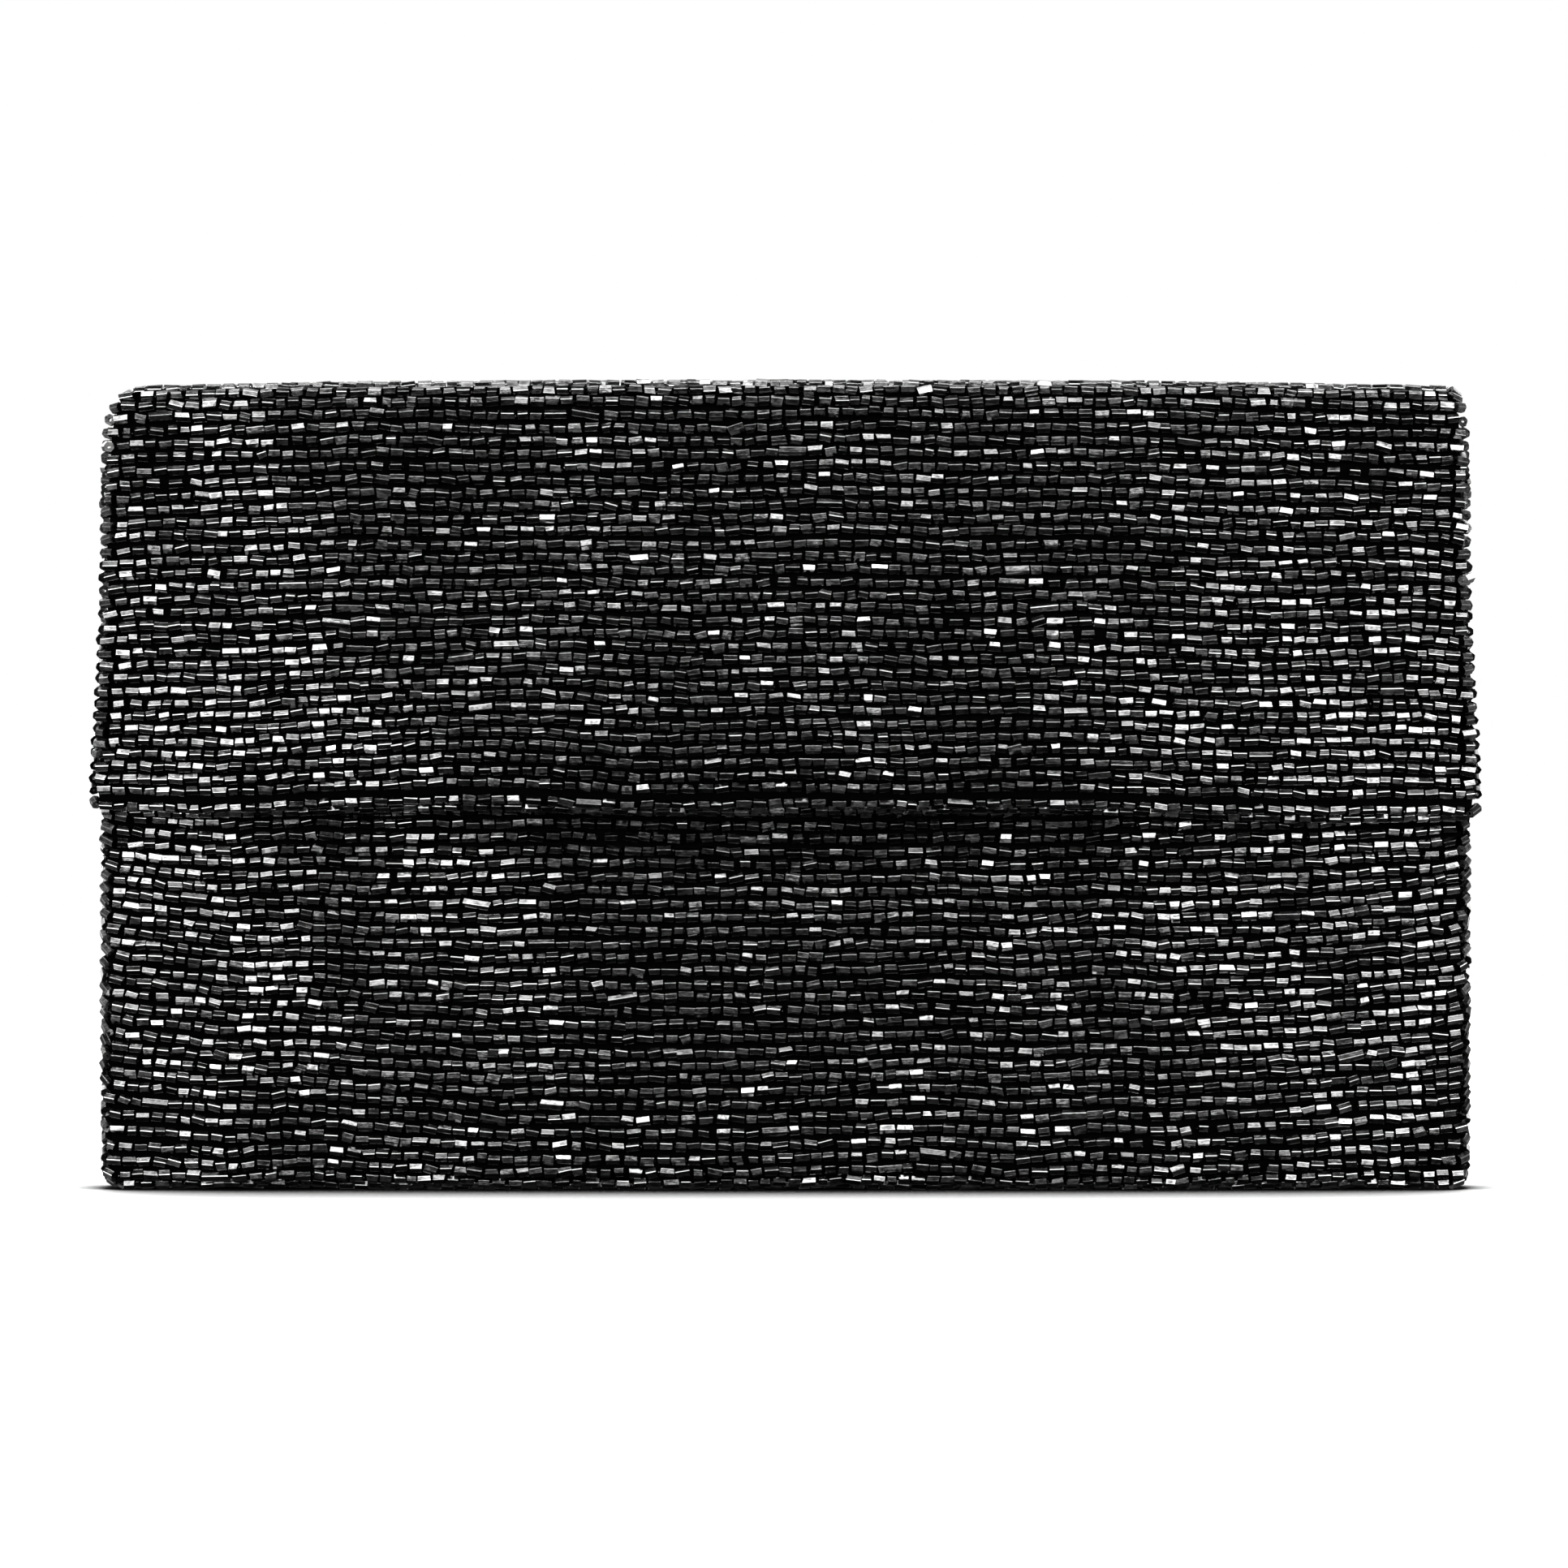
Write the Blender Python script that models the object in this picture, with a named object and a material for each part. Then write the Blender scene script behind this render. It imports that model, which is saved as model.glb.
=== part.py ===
"""Beaded envelope clutch, modelled as the maker builds it.

Two beaded panels are stitched along the sides and the base into a flat pouch. Each wall holds a layer of
wadding and a stiffener board, and a satin lining hangs inside. The beaded cloth goes on over the mouth as a
narrow spine and down the front as the flap, which a magnetic snap holds shut. The flap folds on two lines, at
the rear and the front edge of the spine.

Metres, +Z up, -Y is the front. The origin is under the middle of the clutch, on what it stands on.
"""

import math

import bmesh
import bpy
from mathutils import Matrix, Vector

MM = 0.001

# ---- Driving dimensions -------------------------------------------------------------------------------------
BODY_HALF_WIDTH = 129.2 * MM
TOTAL_HEIGHT = 152.8 * MM
MOUTH_HEIGHT = 145.2 * MM
SIDE_DEPTH = 7.5 * MM  # from the pouch's middle plane to a wall's outer face, at the edges
FRONT_BULGE = 5.0 * MM  # how far the filled front stands proud of its edges
BACK_BULGE = 3.5 * MM
FRONT_BASE_BULGE = 3.0 * MM
BACK_BASE_BULGE = 1.5 * MM
BULGE_HEIGHT = 74.0 * MM  # where the bulge is greatest
BASE_FOLD_RADIUS = 3.5 * MM
BASE_CORNER_INSET = 2.5 * MM
SEAM_HALF_GAP = 0.15 * MM
SIDE_TURN = 4.0 * MM  # how much of the width the walls take to turn in at the sides
BULGE_POWER = 2.6

FLAP_LOWER_EDGE = 69.5 * MM
FLAP_HALF_WIDTH_TOP = 129.0 * MM
FLAP_HALF_WIDTH_LOW = 131.5 * MM
FLAP_SIDE_TURN = 2.8 * MM
FLAP_GAP = 1.4 * MM  # between the front's beads and the flap's facing
FLAP_BULGE_SHARE = 1.12  # the flap's bulge, as a share of the front's
FLAP_THICKNESS = 4.65 * MM
FLAP_TUCK = 0.9 * MM  # how far the lower edge leans back on to the front
FLAP_THINNING = 1.25 * MM  # how much thinner the flap is at its lower edge
FLAP_TUCK_HEIGHT = 14.0 * MM
FLAP_EDGE_RADIUS = 2.3 * MM
SPINE_RADIUS = 5.5 * MM

# Layers of a wall, as depths under its outer face
BEADED_CLOTH = 2.0 * MM  # beads on their ground cloth
BEAD_HEIGHT = 1.6 * MM
WADDING = (2.3 * MM, 3.0 * MM)
BOARD = (3.25 * MM, 4.0 * MM)
FRONT_LINING = (5.1 * MM, 5.5 * MM)
BACK_LINING = (4.4 * MM, 4.8 * MM)
LINING_HEM = 2.2 * MM  # the lining's depth where it is sewn in at the mouth
LINING_HEM_HEIGHT = 14.0 * MM
LINING_TOP = 144.2 * MM
BOARD_HALF_WIDTH = 120.0 * MM
BOARD_RANGE = (9.0 * MM, 126.0 * MM)
BINDING_HALF_WIDTH = 126.5 * MM
BINDING_DEPTHS = (0.5 * MM, 2.5 * MM)
BINDING_HEIGHTS = (0.3 * MM, 1.5 * MM)  # over the mouth's edge
POCKET = (5.3 * MM, 5.7 * MM)
POCKET_HALF_WIDTH = 60.0 * MM
POCKET_RANGE = (40.0 * MM, 116.0 * MM)

# Layers of the flap, as heights over its facing's outer face
FACING = (0.0, 0.45 * MM)
FLAP_BOARD = (0.75 * MM, 1.4 * MM)
FLAP_WADDING = (1.6 * MM, 2.35 * MM)
FLAP_BOARD_RANGE = (79.5 * MM, 139.0 * MM)
FLAP_BOARD_INSET = 5.0 * MM
FACING_INSET = 2.8 * MM

# Magnetic snap
SNAP_HEIGHT = 90.0 * MM
SNAP_RECESS_RADIUS = 8.2 * MM
PRONG_SPACING = 7.0 * MM
PRONG_WIDTH = 3.0 * MM
SHEET_METAL = 0.4 * MM
SLIT = (1.0 * MM, 3.8 * MM)
LATHE_STEPS = 28

# ---- Derived dimensions -------------------------------------------------------------------------------------
FOLD_HEIGHT = TOTAL_HEIGHT - SPINE_RADIUS  # centre height of both folds
CLOTH_RADIUS = SPINE_RADIUS - (BEADED_CLOTH - 0.2 * MM)  # of the ground cloth, which keeps its length
HINGE_OFFSET = CLOTH_RADIUS * math.pi / 4  # puts the hinge where the cloth keeps its length as it unfolds
FLAP_TOP_DEPTH = SIDE_DEPTH + FLAP_GAP + FLAP_THICKNESS
REAR_FOLD = (SIDE_DEPTH - SPINE_RADIUS, FOLD_HEIGHT)
FRONT_FOLD = (-(FLAP_TOP_DEPTH - SPINE_RADIUS), FOLD_HEIGHT)
BACK_FULL_DEPTH = SIDE_DEPTH + BACK_BULGE


def flap_full_depth():
    """The furthest that the flap's outer face stands from the pouch's middle plane."""
    steps = [FLAP_LOWER_EDGE + i * 0.5 * MM for i in range(60)]
    return max(flap_depth(z, FLAP_THICKNESS) + flap_bulge(z) for z in steps)


# ---- The shape's rules --------------------------------------------------------------------------------------
def edge_share(inset, turn):
    """1 over most of the width, falling to 0 at a side along a quarter of an ellipse."""
    t = 1 - min(1.0, inset / turn)
    return math.sqrt(max(0.0, 1 - t * t))


def bulge_share(x):
    return max(0.0, 1 - (abs(x) / BODY_HALF_WIDTH) ** BULGE_POWER)


def bulge(z, base, full):
    """The bulge at a height: from its base value up to the full one, then to nothing at the mouth."""
    if z <= BULGE_HEIGHT:
        return base + (full - base) * math.sin(math.pi / 2 * max(z, 0) / BULGE_HEIGHT)
    t = min(1.0, (z - BULGE_HEIGHT) / (MOUTH_HEIGHT - BULGE_HEIGHT))
    return full * 0.5 * (1 + math.cos(math.pi * t))


def front_bulge(z):
    return bulge(z, FRONT_BASE_BULGE, FRONT_BULGE)


def back_bulge(z):
    return bulge(z, BACK_BASE_BULGE, BACK_BULGE)


def flap_bulge(z):
    return FLAP_BULGE_SHARE * front_bulge(z)


def tuck(z):
    """1 at the flap's lower edge and 0 from FLAP_TUCK_HEIGHT above it."""
    t = min(1.0, max(0.0, (z - FLAP_LOWER_EDGE) / FLAP_TUCK_HEIGHT))
    return 1 - t * t * (3 - 2 * t)


def flap_depth(z, layer):
    """Depth from the middle plane of the flap's layer at a height over its facing, at the flap's sides."""
    thinner = FLAP_THINNING * layer / FLAP_THICKNESS
    return SIDE_DEPTH + FLAP_GAP + layer - (FLAP_TUCK + thinner) * tuck(z)


def flap_half_width(z):
    t = (z - FLAP_LOWER_EDGE) / (TOTAL_HEIGHT - FLAP_LOWER_EDGE)
    return FLAP_HALF_WIDTH_LOW + (FLAP_HALF_WIDTH_TOP - FLAP_HALF_WIDTH_LOW) * t


MIDDLE_Y = (flap_full_depth() - BACK_FULL_DEPTH) / 2  # the pouch's middle plane; the whole is centred on y = 0

# ---- Mesh helpers -------------------------------------------------------------------------------------------
COLUMNS = [x * MM for x in (0, 27, 51, 72, 91, 107, 118)]
TURN_SHARES = (0.55, 0.18)


def columns(half_width, turn=None):
    """Where the points of a row stand across the clutch: the shared columns, then those of the turn at the sides."""
    ends = [half_width - turn * s for s in (1.0, *TURN_SHARES)] if turn else []
    half = [x for x in COLUMNS if x < half_width - (turn or 0) - 0.5 * MM] + ends + [half_width]
    return [-x for x in reversed(half[1:])] + half


def spread(low, high, count):
    return [low + (high - low) * i / count for i in range(count + 1)]


WALL_HEIGHTS = spread(BASE_FOLD_RADIUS, MOUTH_HEIGHT, 9)
FLAP_HEIGHTS = [FLAP_LOWER_EDGE + h * MM for h in (2.3, 6.0, 10.0, 15.0, 25.0, 37.0, 50.0, 63.0)] + [MOUTH_HEIGHT]


def between(low, high, shared):
    """low, high and the shared heights that lie between them, so that stacked layers bend at the same places."""
    return [low] + [z for z in shared if low + 0.5 * MM < z < high - 0.5 * MM] + [high]


def row(side, half_width, profile, anchor, bulging, turn):
    """One line of points across the clutch. profile and anchor are (depth, height): the line runs at profile
    and turns in to anchor at both sides. side is -1 for the front and 1 for the back."""
    points = []
    for x in columns(half_width, turn):
        e = edge_share(half_width - abs(x), turn)
        depth = anchor[0] + (profile[0] - anchor[0]) * e + bulging * bulge_share(x)
        height = anchor[1] + (profile[1] - anchor[1]) * e
        points.append((x, MIDDLE_Y + side * depth, height))
    return points


def plain_row(side, half_width, depth, height, bulging):
    """One line of points across a layer that stops short of the sides."""
    return [(x, MIDDLE_Y + side * (depth + bulging * bulge_share(x)), height) for x in columns(half_width)]


def shell(name, outer, inner, start=None, end=None):
    """A closed sheet between two stacks of rows. start and end are rows that sharpen its first and last edge."""
    loop = list(outer) + ([end] if end else []) + list(reversed(inner)) + ([start] if start else [])
    width = len(loop[0])
    mesh = bmesh.new()
    grid = [[mesh.verts.new(p) for p in line] for line in loop]
    for i, line in enumerate(grid):
        after = grid[(i + 1) % len(grid)]
        for j in range(width - 1):
            mesh.faces.new((line[j], line[j + 1], after[j + 1], after[j]))
    rows = len(outer)
    inner_at = [len(grid) - 1 - (1 if start else 0) - i for i in range(rows)]
    for column in (0, width - 1):
        for i in range(rows - 1):
            a, b = inner_at[i], inner_at[i + 1]
            mesh.faces.new((grid[i][column], grid[i + 1][column], grid[b][column], grid[a][column]))
        if end:
            mesh.faces.new((grid[rows - 1][column], grid[rows][column], grid[inner_at[-1]][column]))
        if start:
            mesh.faces.new((grid[-1][column], grid[0][column], grid[inner_at[0]][column]))
    bmesh.ops.recalc_face_normals(mesh, faces=mesh.faces)
    data = bpy.data.meshes.new(name)
    mesh.to_mesh(data)
    mesh.free()
    return add_object(name, data)


def add_object(name, data):
    made = bpy.data.objects.new(name, data)
    bpy.context.scene.collection.objects.link(made)
    return made


def lathe(name, profile, place, steps=LATHE_STEPS):
    """A turned solid about the snap's axis. profile is a closed loop of (radius, height along the axis)."""
    mesh = bmesh.new()
    rings = []
    for k in range(steps):
        angle = 2 * math.pi * k / steps
        rings.append([mesh.verts.new((r * math.cos(angle), r * math.sin(angle), h)) for r, h in profile])
    count = len(profile)
    for k in range(steps):
        a, b = rings[k], rings[(k + 1) % steps]
        for i in range(count):
            j = (i + 1) % count
            mesh.faces.new((a[i], b[i], b[j], a[j]))
    bmesh.ops.remove_doubles(mesh, verts=mesh.verts, dist=1e-7)
    bmesh.ops.dissolve_degenerate(mesh, edges=mesh.edges, dist=1e-7)
    bmesh.ops.recalc_face_normals(mesh, faces=mesh.faces)
    mesh.transform(place)
    data = bpy.data.meshes.new(name)
    mesh.to_mesh(data)
    mesh.free()
    return add_object(name, data)


def block(name, low, high, place):
    mesh = bmesh.new()
    bmesh.ops.create_cube(mesh, size=1.0)
    size = [high[i] - low[i] for i in range(3)]
    middle = [(high[i] + low[i]) / 2 for i in range(3)]
    bmesh.ops.scale(mesh, vec=size, verts=mesh.verts)
    bmesh.ops.translate(mesh, vec=middle, verts=mesh.verts)
    mesh.transform(place)
    data = bpy.data.meshes.new(name)
    mesh.to_mesh(data)
    mesh.free()
    return add_object(name, data)


def boolean(target, other, operation):
    """Cuts or joins target with other, which stays as a hidden helper."""
    modifier = target.modifiers.new(operation.lower(), "BOOLEAN")
    modifier.operation = operation
    modifier.object = other
    modifier.solver = "EXACT"
    other.hide_render = True
    other.display_type = "WIRE"


# ---- Materials ----------------------------------------------------------------------------------------------
def material(name, colour, roughness, metallic=0.0):
    made = bpy.data.materials.new(name)
    made.use_nodes = True
    shader = made.node_tree.nodes["Principled BSDF"]
    shader.inputs["Base Color"].default_value = (*colour, 1.0)
    shader.inputs["Roughness"].default_value = roughness
    shader.inputs["Metallic"].default_value = metallic
    return made


def finish(obj, made):
    obj.data.materials.append(made)
    obj.data.shade_smooth()
    obj.data.set_sharp_from_angle(angle=math.radians(30))
    return obj


# ---- The pouch's walls --------------------------------------------------------------------------------------
def base_stations(depth, base, full, steps=3):
    """(profile depth, height, bulge, half width) from the seam under the base, round the fold, to the wall."""
    radius = BASE_FOLD_RADIUS - depth
    flat = SIDE_DEPTH - BASE_FOLD_RADIUS
    inset = BASE_CORNER_INSET
    stations = [(SEAM_HALF_GAP, depth, 0.0, BODY_HALF_WIDTH - inset - depth)]
    for i in range(steps + 1):
        angle = math.pi / 2 * (1 - i / steps)
        height = BASE_FOLD_RADIUS - radius * math.sin(angle)
        half_width = BODY_HALF_WIDTH - inset * math.sin(angle) ** 2 - depth
        stations.append((flat + radius * math.cos(angle), height, bulge(height, base, full), half_width))
    return stations


def wall_stations(depth, base, full):
    return [(SIDE_DEPTH - depth, z, bulge(z, base, full), BODY_HALF_WIDTH - depth) for z in WALL_HEIGHTS[1:]]


def tray_rows(side, stations, depth=0.0):
    turn = max(SIDE_TURN - depth, 1.2 * MM)
    return [row(side, half, (y, z), (SEAM_HALF_GAP, z), swell, turn) for y, z, swell, half in stations]


def front_panel():
    """Beaded cloth of the front, turned in at the sides and under the base to meet the back."""
    rules = (FRONT_BASE_BULGE, FRONT_BULGE)
    outer = base_stations(0.0, *rules) + wall_stations(0.0, *rules)
    inner = base_stations(BEADED_CLOTH, *rules) + wall_stations(BEADED_CLOTH, *rules)
    return shell("front_beaded_panel", tray_rows(-1, outer), tray_rows(-1, inner, BEADED_CLOTH))


def fold_point(centre, radius, angle):
    """A point on a fold of the spine: angle 0 is level with its centre, 90 is on top."""
    side = 1 if centre is REAR_FOLD else -1
    turn = math.radians(angle)
    return (centre[0] + side * radius * math.cos(turn), centre[1] + radius * math.sin(turn))


def hinge_point(centre):
    side = 1 if centre is REAR_FOLD else -1
    return (centre[0] + side * HINGE_OFFSET, centre[1] + HINGE_OFFSET)


def free_row(y_z, middle, half_width, turn):
    """A line across a strip with free side edges, which turn to the middle of its thickness."""
    points = []
    for x in columns(half_width, turn):
        e = edge_share(half_width - abs(x), turn)
        y = middle[0] + (y_z[0] - middle[0]) * e
        z = middle[1] + (y_z[1] - middle[1]) * e
        points.append((x, MIDDLE_Y + y, z))
    return points


def free_pair(outer, inner, half_width):
    middle = ((outer[0] + inner[0]) / 2, (outer[1] + inner[1]) / 2)
    return (
        free_row(outer, middle, half_width, SIDE_TURN),
        free_row(inner, middle, half_width - BEADED_CLOTH / 2, SIDE_TURN - BEADED_CLOTH / 2),
    )


HINGE_CLEARANCE = 0.25 * MM
NOTCH_ANGLE = 29  # the outer face stops here, so that the fold can flatten without its beads meeting


def hinge_row(centre, toward, half_width):
    """The line just short of a hinge's axis, moved off it by the clearance along toward (y, z)."""
    y, z = hinge_point(centre)
    length = math.hypot(*toward)
    point = (y + toward[0] / length * HINGE_CLEARANCE, z + toward[1] / length * HINGE_CLEARANCE)
    return free_row(point, point, half_width - BEADED_CLOTH / 2, SIDE_TURN - BEADED_CLOTH / 2)


def back_panel():
    """Beaded cloth of the back. Above the mouth its edges are free, and it goes on into the rear fold."""
    rules = (BACK_BASE_BULGE, BACK_BULGE)
    outer = base_stations(0.0, *rules) + wall_stations(0.0, *rules)
    inner = base_stations(BEADED_CLOTH, *rules) + wall_stations(BEADED_CLOTH, *rules)
    outer, inner = tray_rows(1, outer), tray_rows(1, inner, BEADED_CLOTH)
    inside = SPINE_RADIUS - BEADED_CLOTH
    pairs = [((SIDE_DEPTH, FOLD_HEIGHT - 1 * MM), (SIDE_DEPTH - BEADED_CLOTH, FOLD_HEIGHT - 1 * MM))]
    for share in (0.0, 0.5, 1.0):
        pairs.append(
            (
                fold_point(REAR_FOLD, SPINE_RADIUS, NOTCH_ANGLE * share),
                fold_point(REAR_FOLD, inside, 42 * share),
            )
        )
    for a, b in pairs:
        over, under = free_pair(a, b, FLAP_HALF_WIDTH_TOP)
        outer.append(over)
        inner.append(under)
    end = hinge_row(REAR_FOLD, (0.35, -1), FLAP_HALF_WIDTH_TOP)
    return shell("back_beaded_panel", outer, inner, end=end)


def wall_layer(name, side, depths, half_width, heights, rules):
    """A sheet between two depths under a wall's outer face, short of the wall's sides."""
    stacks = [
        [
            plain_row(side, half_width, SIDE_DEPTH - depth, z, bulge(z, *rules))
            for z in between(*heights, WALL_HEIGHTS)
        ]
        for depth in depths
    ]
    return shell(name, *stacks)


def lining(name, side, depths, rules):
    """Half of the lining bag: it meets the other half at the sides and the base, and comes out to the mouth."""
    stacks = []
    thick = depths[1] - depths[0]
    for k, full_depth in enumerate(depths):
        hem_depth = LINING_HEM + k * thick
        low = full_depth + 1.5 * MM
        stations = [(SEAM_HALF_GAP, low, 0.0, BODY_HALF_WIDTH - full_depth)]
        for z in between(low, LINING_TOP - LINING_HEM_HEIGHT, WALL_HEIGHTS):
            stations.append((SIDE_DEPTH - full_depth, z, bulge(z, *rules), BODY_HALF_WIDTH - full_depth))
        for share in (0.5, 1.0):
            z = LINING_TOP - LINING_HEM_HEIGHT * (1 - share)
            depth = full_depth + (hem_depth - full_depth) * share * share * (3 - 2 * share)
            stations.append((SIDE_DEPTH - depth, z, bulge(z, *rules), BODY_HALF_WIDTH - full_depth))
        stacks.append(tray_rows(side, stations, full_depth))
    return shell(name, *stacks)


def mouth_binding():
    """Satin binding that lies along the top edge of the front, with its upper edges eased."""
    low, high = (MOUTH_HEIGHT + h for h in BINDING_HEIGHTS)
    near, far = (SIDE_DEPTH - d for d in BINDING_DEPTHS)
    ease = 0.4 * MM
    stacks = []
    for side_depth, sign in ((near, -1), (far, 1)):
        steps = ((side_depth, low), (side_depth, high - ease), (side_depth + sign * ease, high))
        stacks.append([plain_row(-1, BINDING_HALF_WIDTH, depth, z, 0.0) for depth, z in steps])
    return shell("mouth_binding", *stacks)


# ---- The spine and the flap ---------------------------------------------------------------------------------
def spine_strip():
    """Beaded cloth over the mouth, from the middle of the rear fold to the middle of the front fold."""
    inside = SPINE_RADIUS - BEADED_CLOTH
    pairs = []
    for share in (0.0, 0.5, 1.0):
        pairs.append(
            (
                fold_point(REAR_FOLD, SPINE_RADIUS, 90 - NOTCH_ANGLE * (1 - share)),
                fold_point(REAR_FOLD, inside, 90 - 42 * (1 - share)),
            )
        )
    for share in (0.0, 0.5, 1.0):
        pairs.append(
            (
                fold_point(FRONT_FOLD, SPINE_RADIUS, 90 - NOTCH_ANGLE * share),
                fold_point(FRONT_FOLD, inside, 90 - 42 * share),
            )
        )
    outer, inner = [], []
    for a, b in pairs:
        over, under = free_pair(a, b, FLAP_HALF_WIDTH_TOP)
        outer.append(over)
        inner.append(under)
    start = hinge_row(REAR_FOLD, (-1, 0.35), FLAP_HALF_WIDTH_TOP)
    end = hinge_row(FRONT_FOLD, (1, 0.35), FLAP_HALF_WIDTH_TOP)
    return shell("spine_beaded_strip", outer, inner, start=start, end=end)


def spine_lining():
    """Satin under the spine."""
    top = TOTAL_HEIGHT - BEADED_CLOTH - 0.3 * MM
    thick = 0.4 * MM
    half = FLAP_HALF_WIDTH_TOP - 4 * MM
    stacks = []
    for z in (top, top - thick):
        lines = []
        for y in (REAR_FOLD[0] - 0.5 * MM, (REAR_FOLD[0] + FRONT_FOLD[0]) / 2, FRONT_FOLD[0] + 0.5 * MM):
            lines.append([(x, MIDDLE_Y + y, z) for x in columns(half)])
        stacks.append(lines)
    return shell("spine_lining", *stacks)


def flap_panel():
    """Beaded cloth of the flap, turned in round its sides and its lower edge."""
    stacks = []
    for depth in (0.0, BEADED_CLOTH):
        radius = FLAP_EDGE_RADIUS - depth
        turn = FLAP_SIDE_TURN - depth
        low = FLAP_LOWER_EDGE
        face = flap_depth(low, FLAP_THICKNESS)
        rim = flap_depth(low, FACING[0])
        half = flap_half_width(low) - depth
        rows = [row(-1, half, (rim, low + depth), (rim, low + depth), flap_bulge(low), turn)]
        for angle in (90, 45, 0):
            point = (
                face - FLAP_EDGE_RADIUS + radius * math.cos(math.radians(angle)),
                low + FLAP_EDGE_RADIUS - radius * math.sin(math.radians(angle)),
            )
            rows.append(row(-1, half, point, (rim, point[1]), flap_bulge(low), turn))
        for z in FLAP_HEIGHTS[1:] + [FOLD_HEIGHT]:
            point = (flap_depth(z, FLAP_THICKNESS) - depth, z)
            rim_point = (flap_depth(z, FACING[0]), z)
            rows.append(row(-1, flap_half_width(z) - depth, point, rim_point, flap_bulge(z), turn))
        stacks.append(rows)
    outer, inner = stacks
    inside = SPINE_RADIUS - BEADED_CLOTH
    for share in (0.5, 1.0):
        over, under = free_pair(
            fold_point(FRONT_FOLD, SPINE_RADIUS, NOTCH_ANGLE * share),
            fold_point(FRONT_FOLD, inside, 42 * share),
            FLAP_HALF_WIDTH_TOP,
        )
        outer.append(over)
        inner.append(under)
    end = hinge_row(FRONT_FOLD, (-0.35, -1), FLAP_HALF_WIDTH_TOP)
    return shell("flap_beaded_panel", outer, inner, end=end)


def flap_layer(name, layers, inset, heights):
    """A sheet between two heights over the flap's facing, short of the flap's sides by inset."""
    stacks = []
    for layer in reversed(layers):
        lines = []
        for z in between(*heights, FLAP_HEIGHTS):
            lines.append(plain_row(-1, flap_half_width(z) - inset, flap_depth(z, layer), z, flap_bulge(z)))
        stacks.append(lines)
    return shell(name, *stacks)


# ---- The magnetic snap --------------------------------------------------------------------------------------
def snap_place(depth):
    """Matrix of the snap's axis: its local Z runs out of the front, square to the wall at the snap's height."""
    slope = (front_bulge(SNAP_HEIGHT + MM) - front_bulge(SNAP_HEIGHT - MM)) / (2 * MM)
    out = Vector((0, -1, -slope)).normalized()
    across = Vector((1, 0, 0))
    up = out.cross(across)
    turn = Matrix((across, up, out)).transposed().to_4x4()
    origin = Vector((0, MIDDLE_Y - depth, SNAP_HEIGHT))
    return Matrix.Translation(origin) @ turn


def ring(inner, outer, low, high):
    return [(inner, low), (outer, low), (outer, high), (inner, high)]


def disc(radius, low, high):
    return ring(0.0, radius, low, high)


def prong(name, side, root, bend, away, place):
    """An L of sheet metal: from root along the axis to bend, then flat outwards."""
    x = side * PRONG_SPACING / 2
    half = SHEET_METAL / 2
    low, high = sorted((root, bend))
    stem = block(name + "_stem", (x - half, -PRONG_WIDTH / 2, low), (x + half, PRONG_WIDTH / 2, high), place)
    reach = side * 2.6 * MM
    x_low, x_high = sorted((x - side * half, x + reach))
    z_low, z_high = sorted((bend, bend + away * SHEET_METAL))
    foot = block(name + "_foot", (x_low, -PRONG_WIDTH / 2 + 0.01 * MM, z_low - 0.02 * MM),
                 (x_high, PRONG_WIDTH / 2 - 0.01 * MM, z_high + 0.02 * MM), place)
    return stem, foot


def pronged(obj, root, bend, away, place):
    for side in (-1, 1):
        for piece in prong(f"{obj.name}_prong{side}", side, root, bend, away, place):
            boolean(obj, piece, "UNION")


def slit(obj, place, reach):
    """Two slits for a snap's prongs, from -reach to reach along the snap's axis."""
    for side in (-1, 1):
        x = side * PRONG_SPACING / 2
        cutter = block(
            f"{obj.name}_slit{side}",
            (x - SLIT[0] / 2, -SLIT[1] / 2, -reach),
            (x + SLIT[0] / 2, SLIT[1] / 2, reach),
            place,
        )
        boolean(obj, cutter, "DIFFERENCE")


def snap_socket(front, inner_layers, metal, ferrite):
    """The half on the front: a pronged base, a ring magnet and the cap over them, with a washer behind the board."""
    wall = SIDE_DEPTH + front_bulge(SNAP_HEIGHT)
    place = snap_place(wall - BEAD_HEIGHT)  # local zero is the bare ground cloth
    recess = lathe("front_recess", disc(SNAP_RECESS_RADIUS, 0.0, 6 * MM), place)
    boolean(front, recess, "DIFFERENCE")
    for obj in [front, *inner_layers]:
        slit(obj, place, 6 * MM)
    washer_top = BEAD_HEIGHT - BOARD[1] - 0.15 * MM
    washer_low = washer_top - SHEET_METAL
    base = lathe("socket_base", disc(6.6 * MM, 0.12 * MM, 0.12 * MM + SHEET_METAL), place)
    pronged(base, 0.3 * MM, washer_low - 0.12 * MM, -1, place)
    magnet = lathe("socket_magnet", ring(2.6 * MM, 6.4 * MM, 0.62 * MM, 1.9 * MM), place)
    cap_profile = [
        (2.3 * MM, 2.0 * MM), (6.75 * MM, 2.0 * MM), (6.75 * MM, 0.12 * MM), (7.15 * MM, 0.12 * MM),
        (7.15 * MM, 2.1 * MM), (6.85 * MM, 2.4 * MM), (2.6 * MM, 2.4 * MM), (2.3 * MM, 2.25 * MM),
    ]
    cap = lathe("socket_cap", cap_profile, place)
    washer = lathe("socket_washer", disc(6.5 * MM, washer_low, washer_top), place)
    slit(washer, place, 6 * MM)
    for obj, made in ((base, metal), (magnet, ferrite), (cap, metal), (washer, metal)):
        finish(obj, made)


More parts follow.
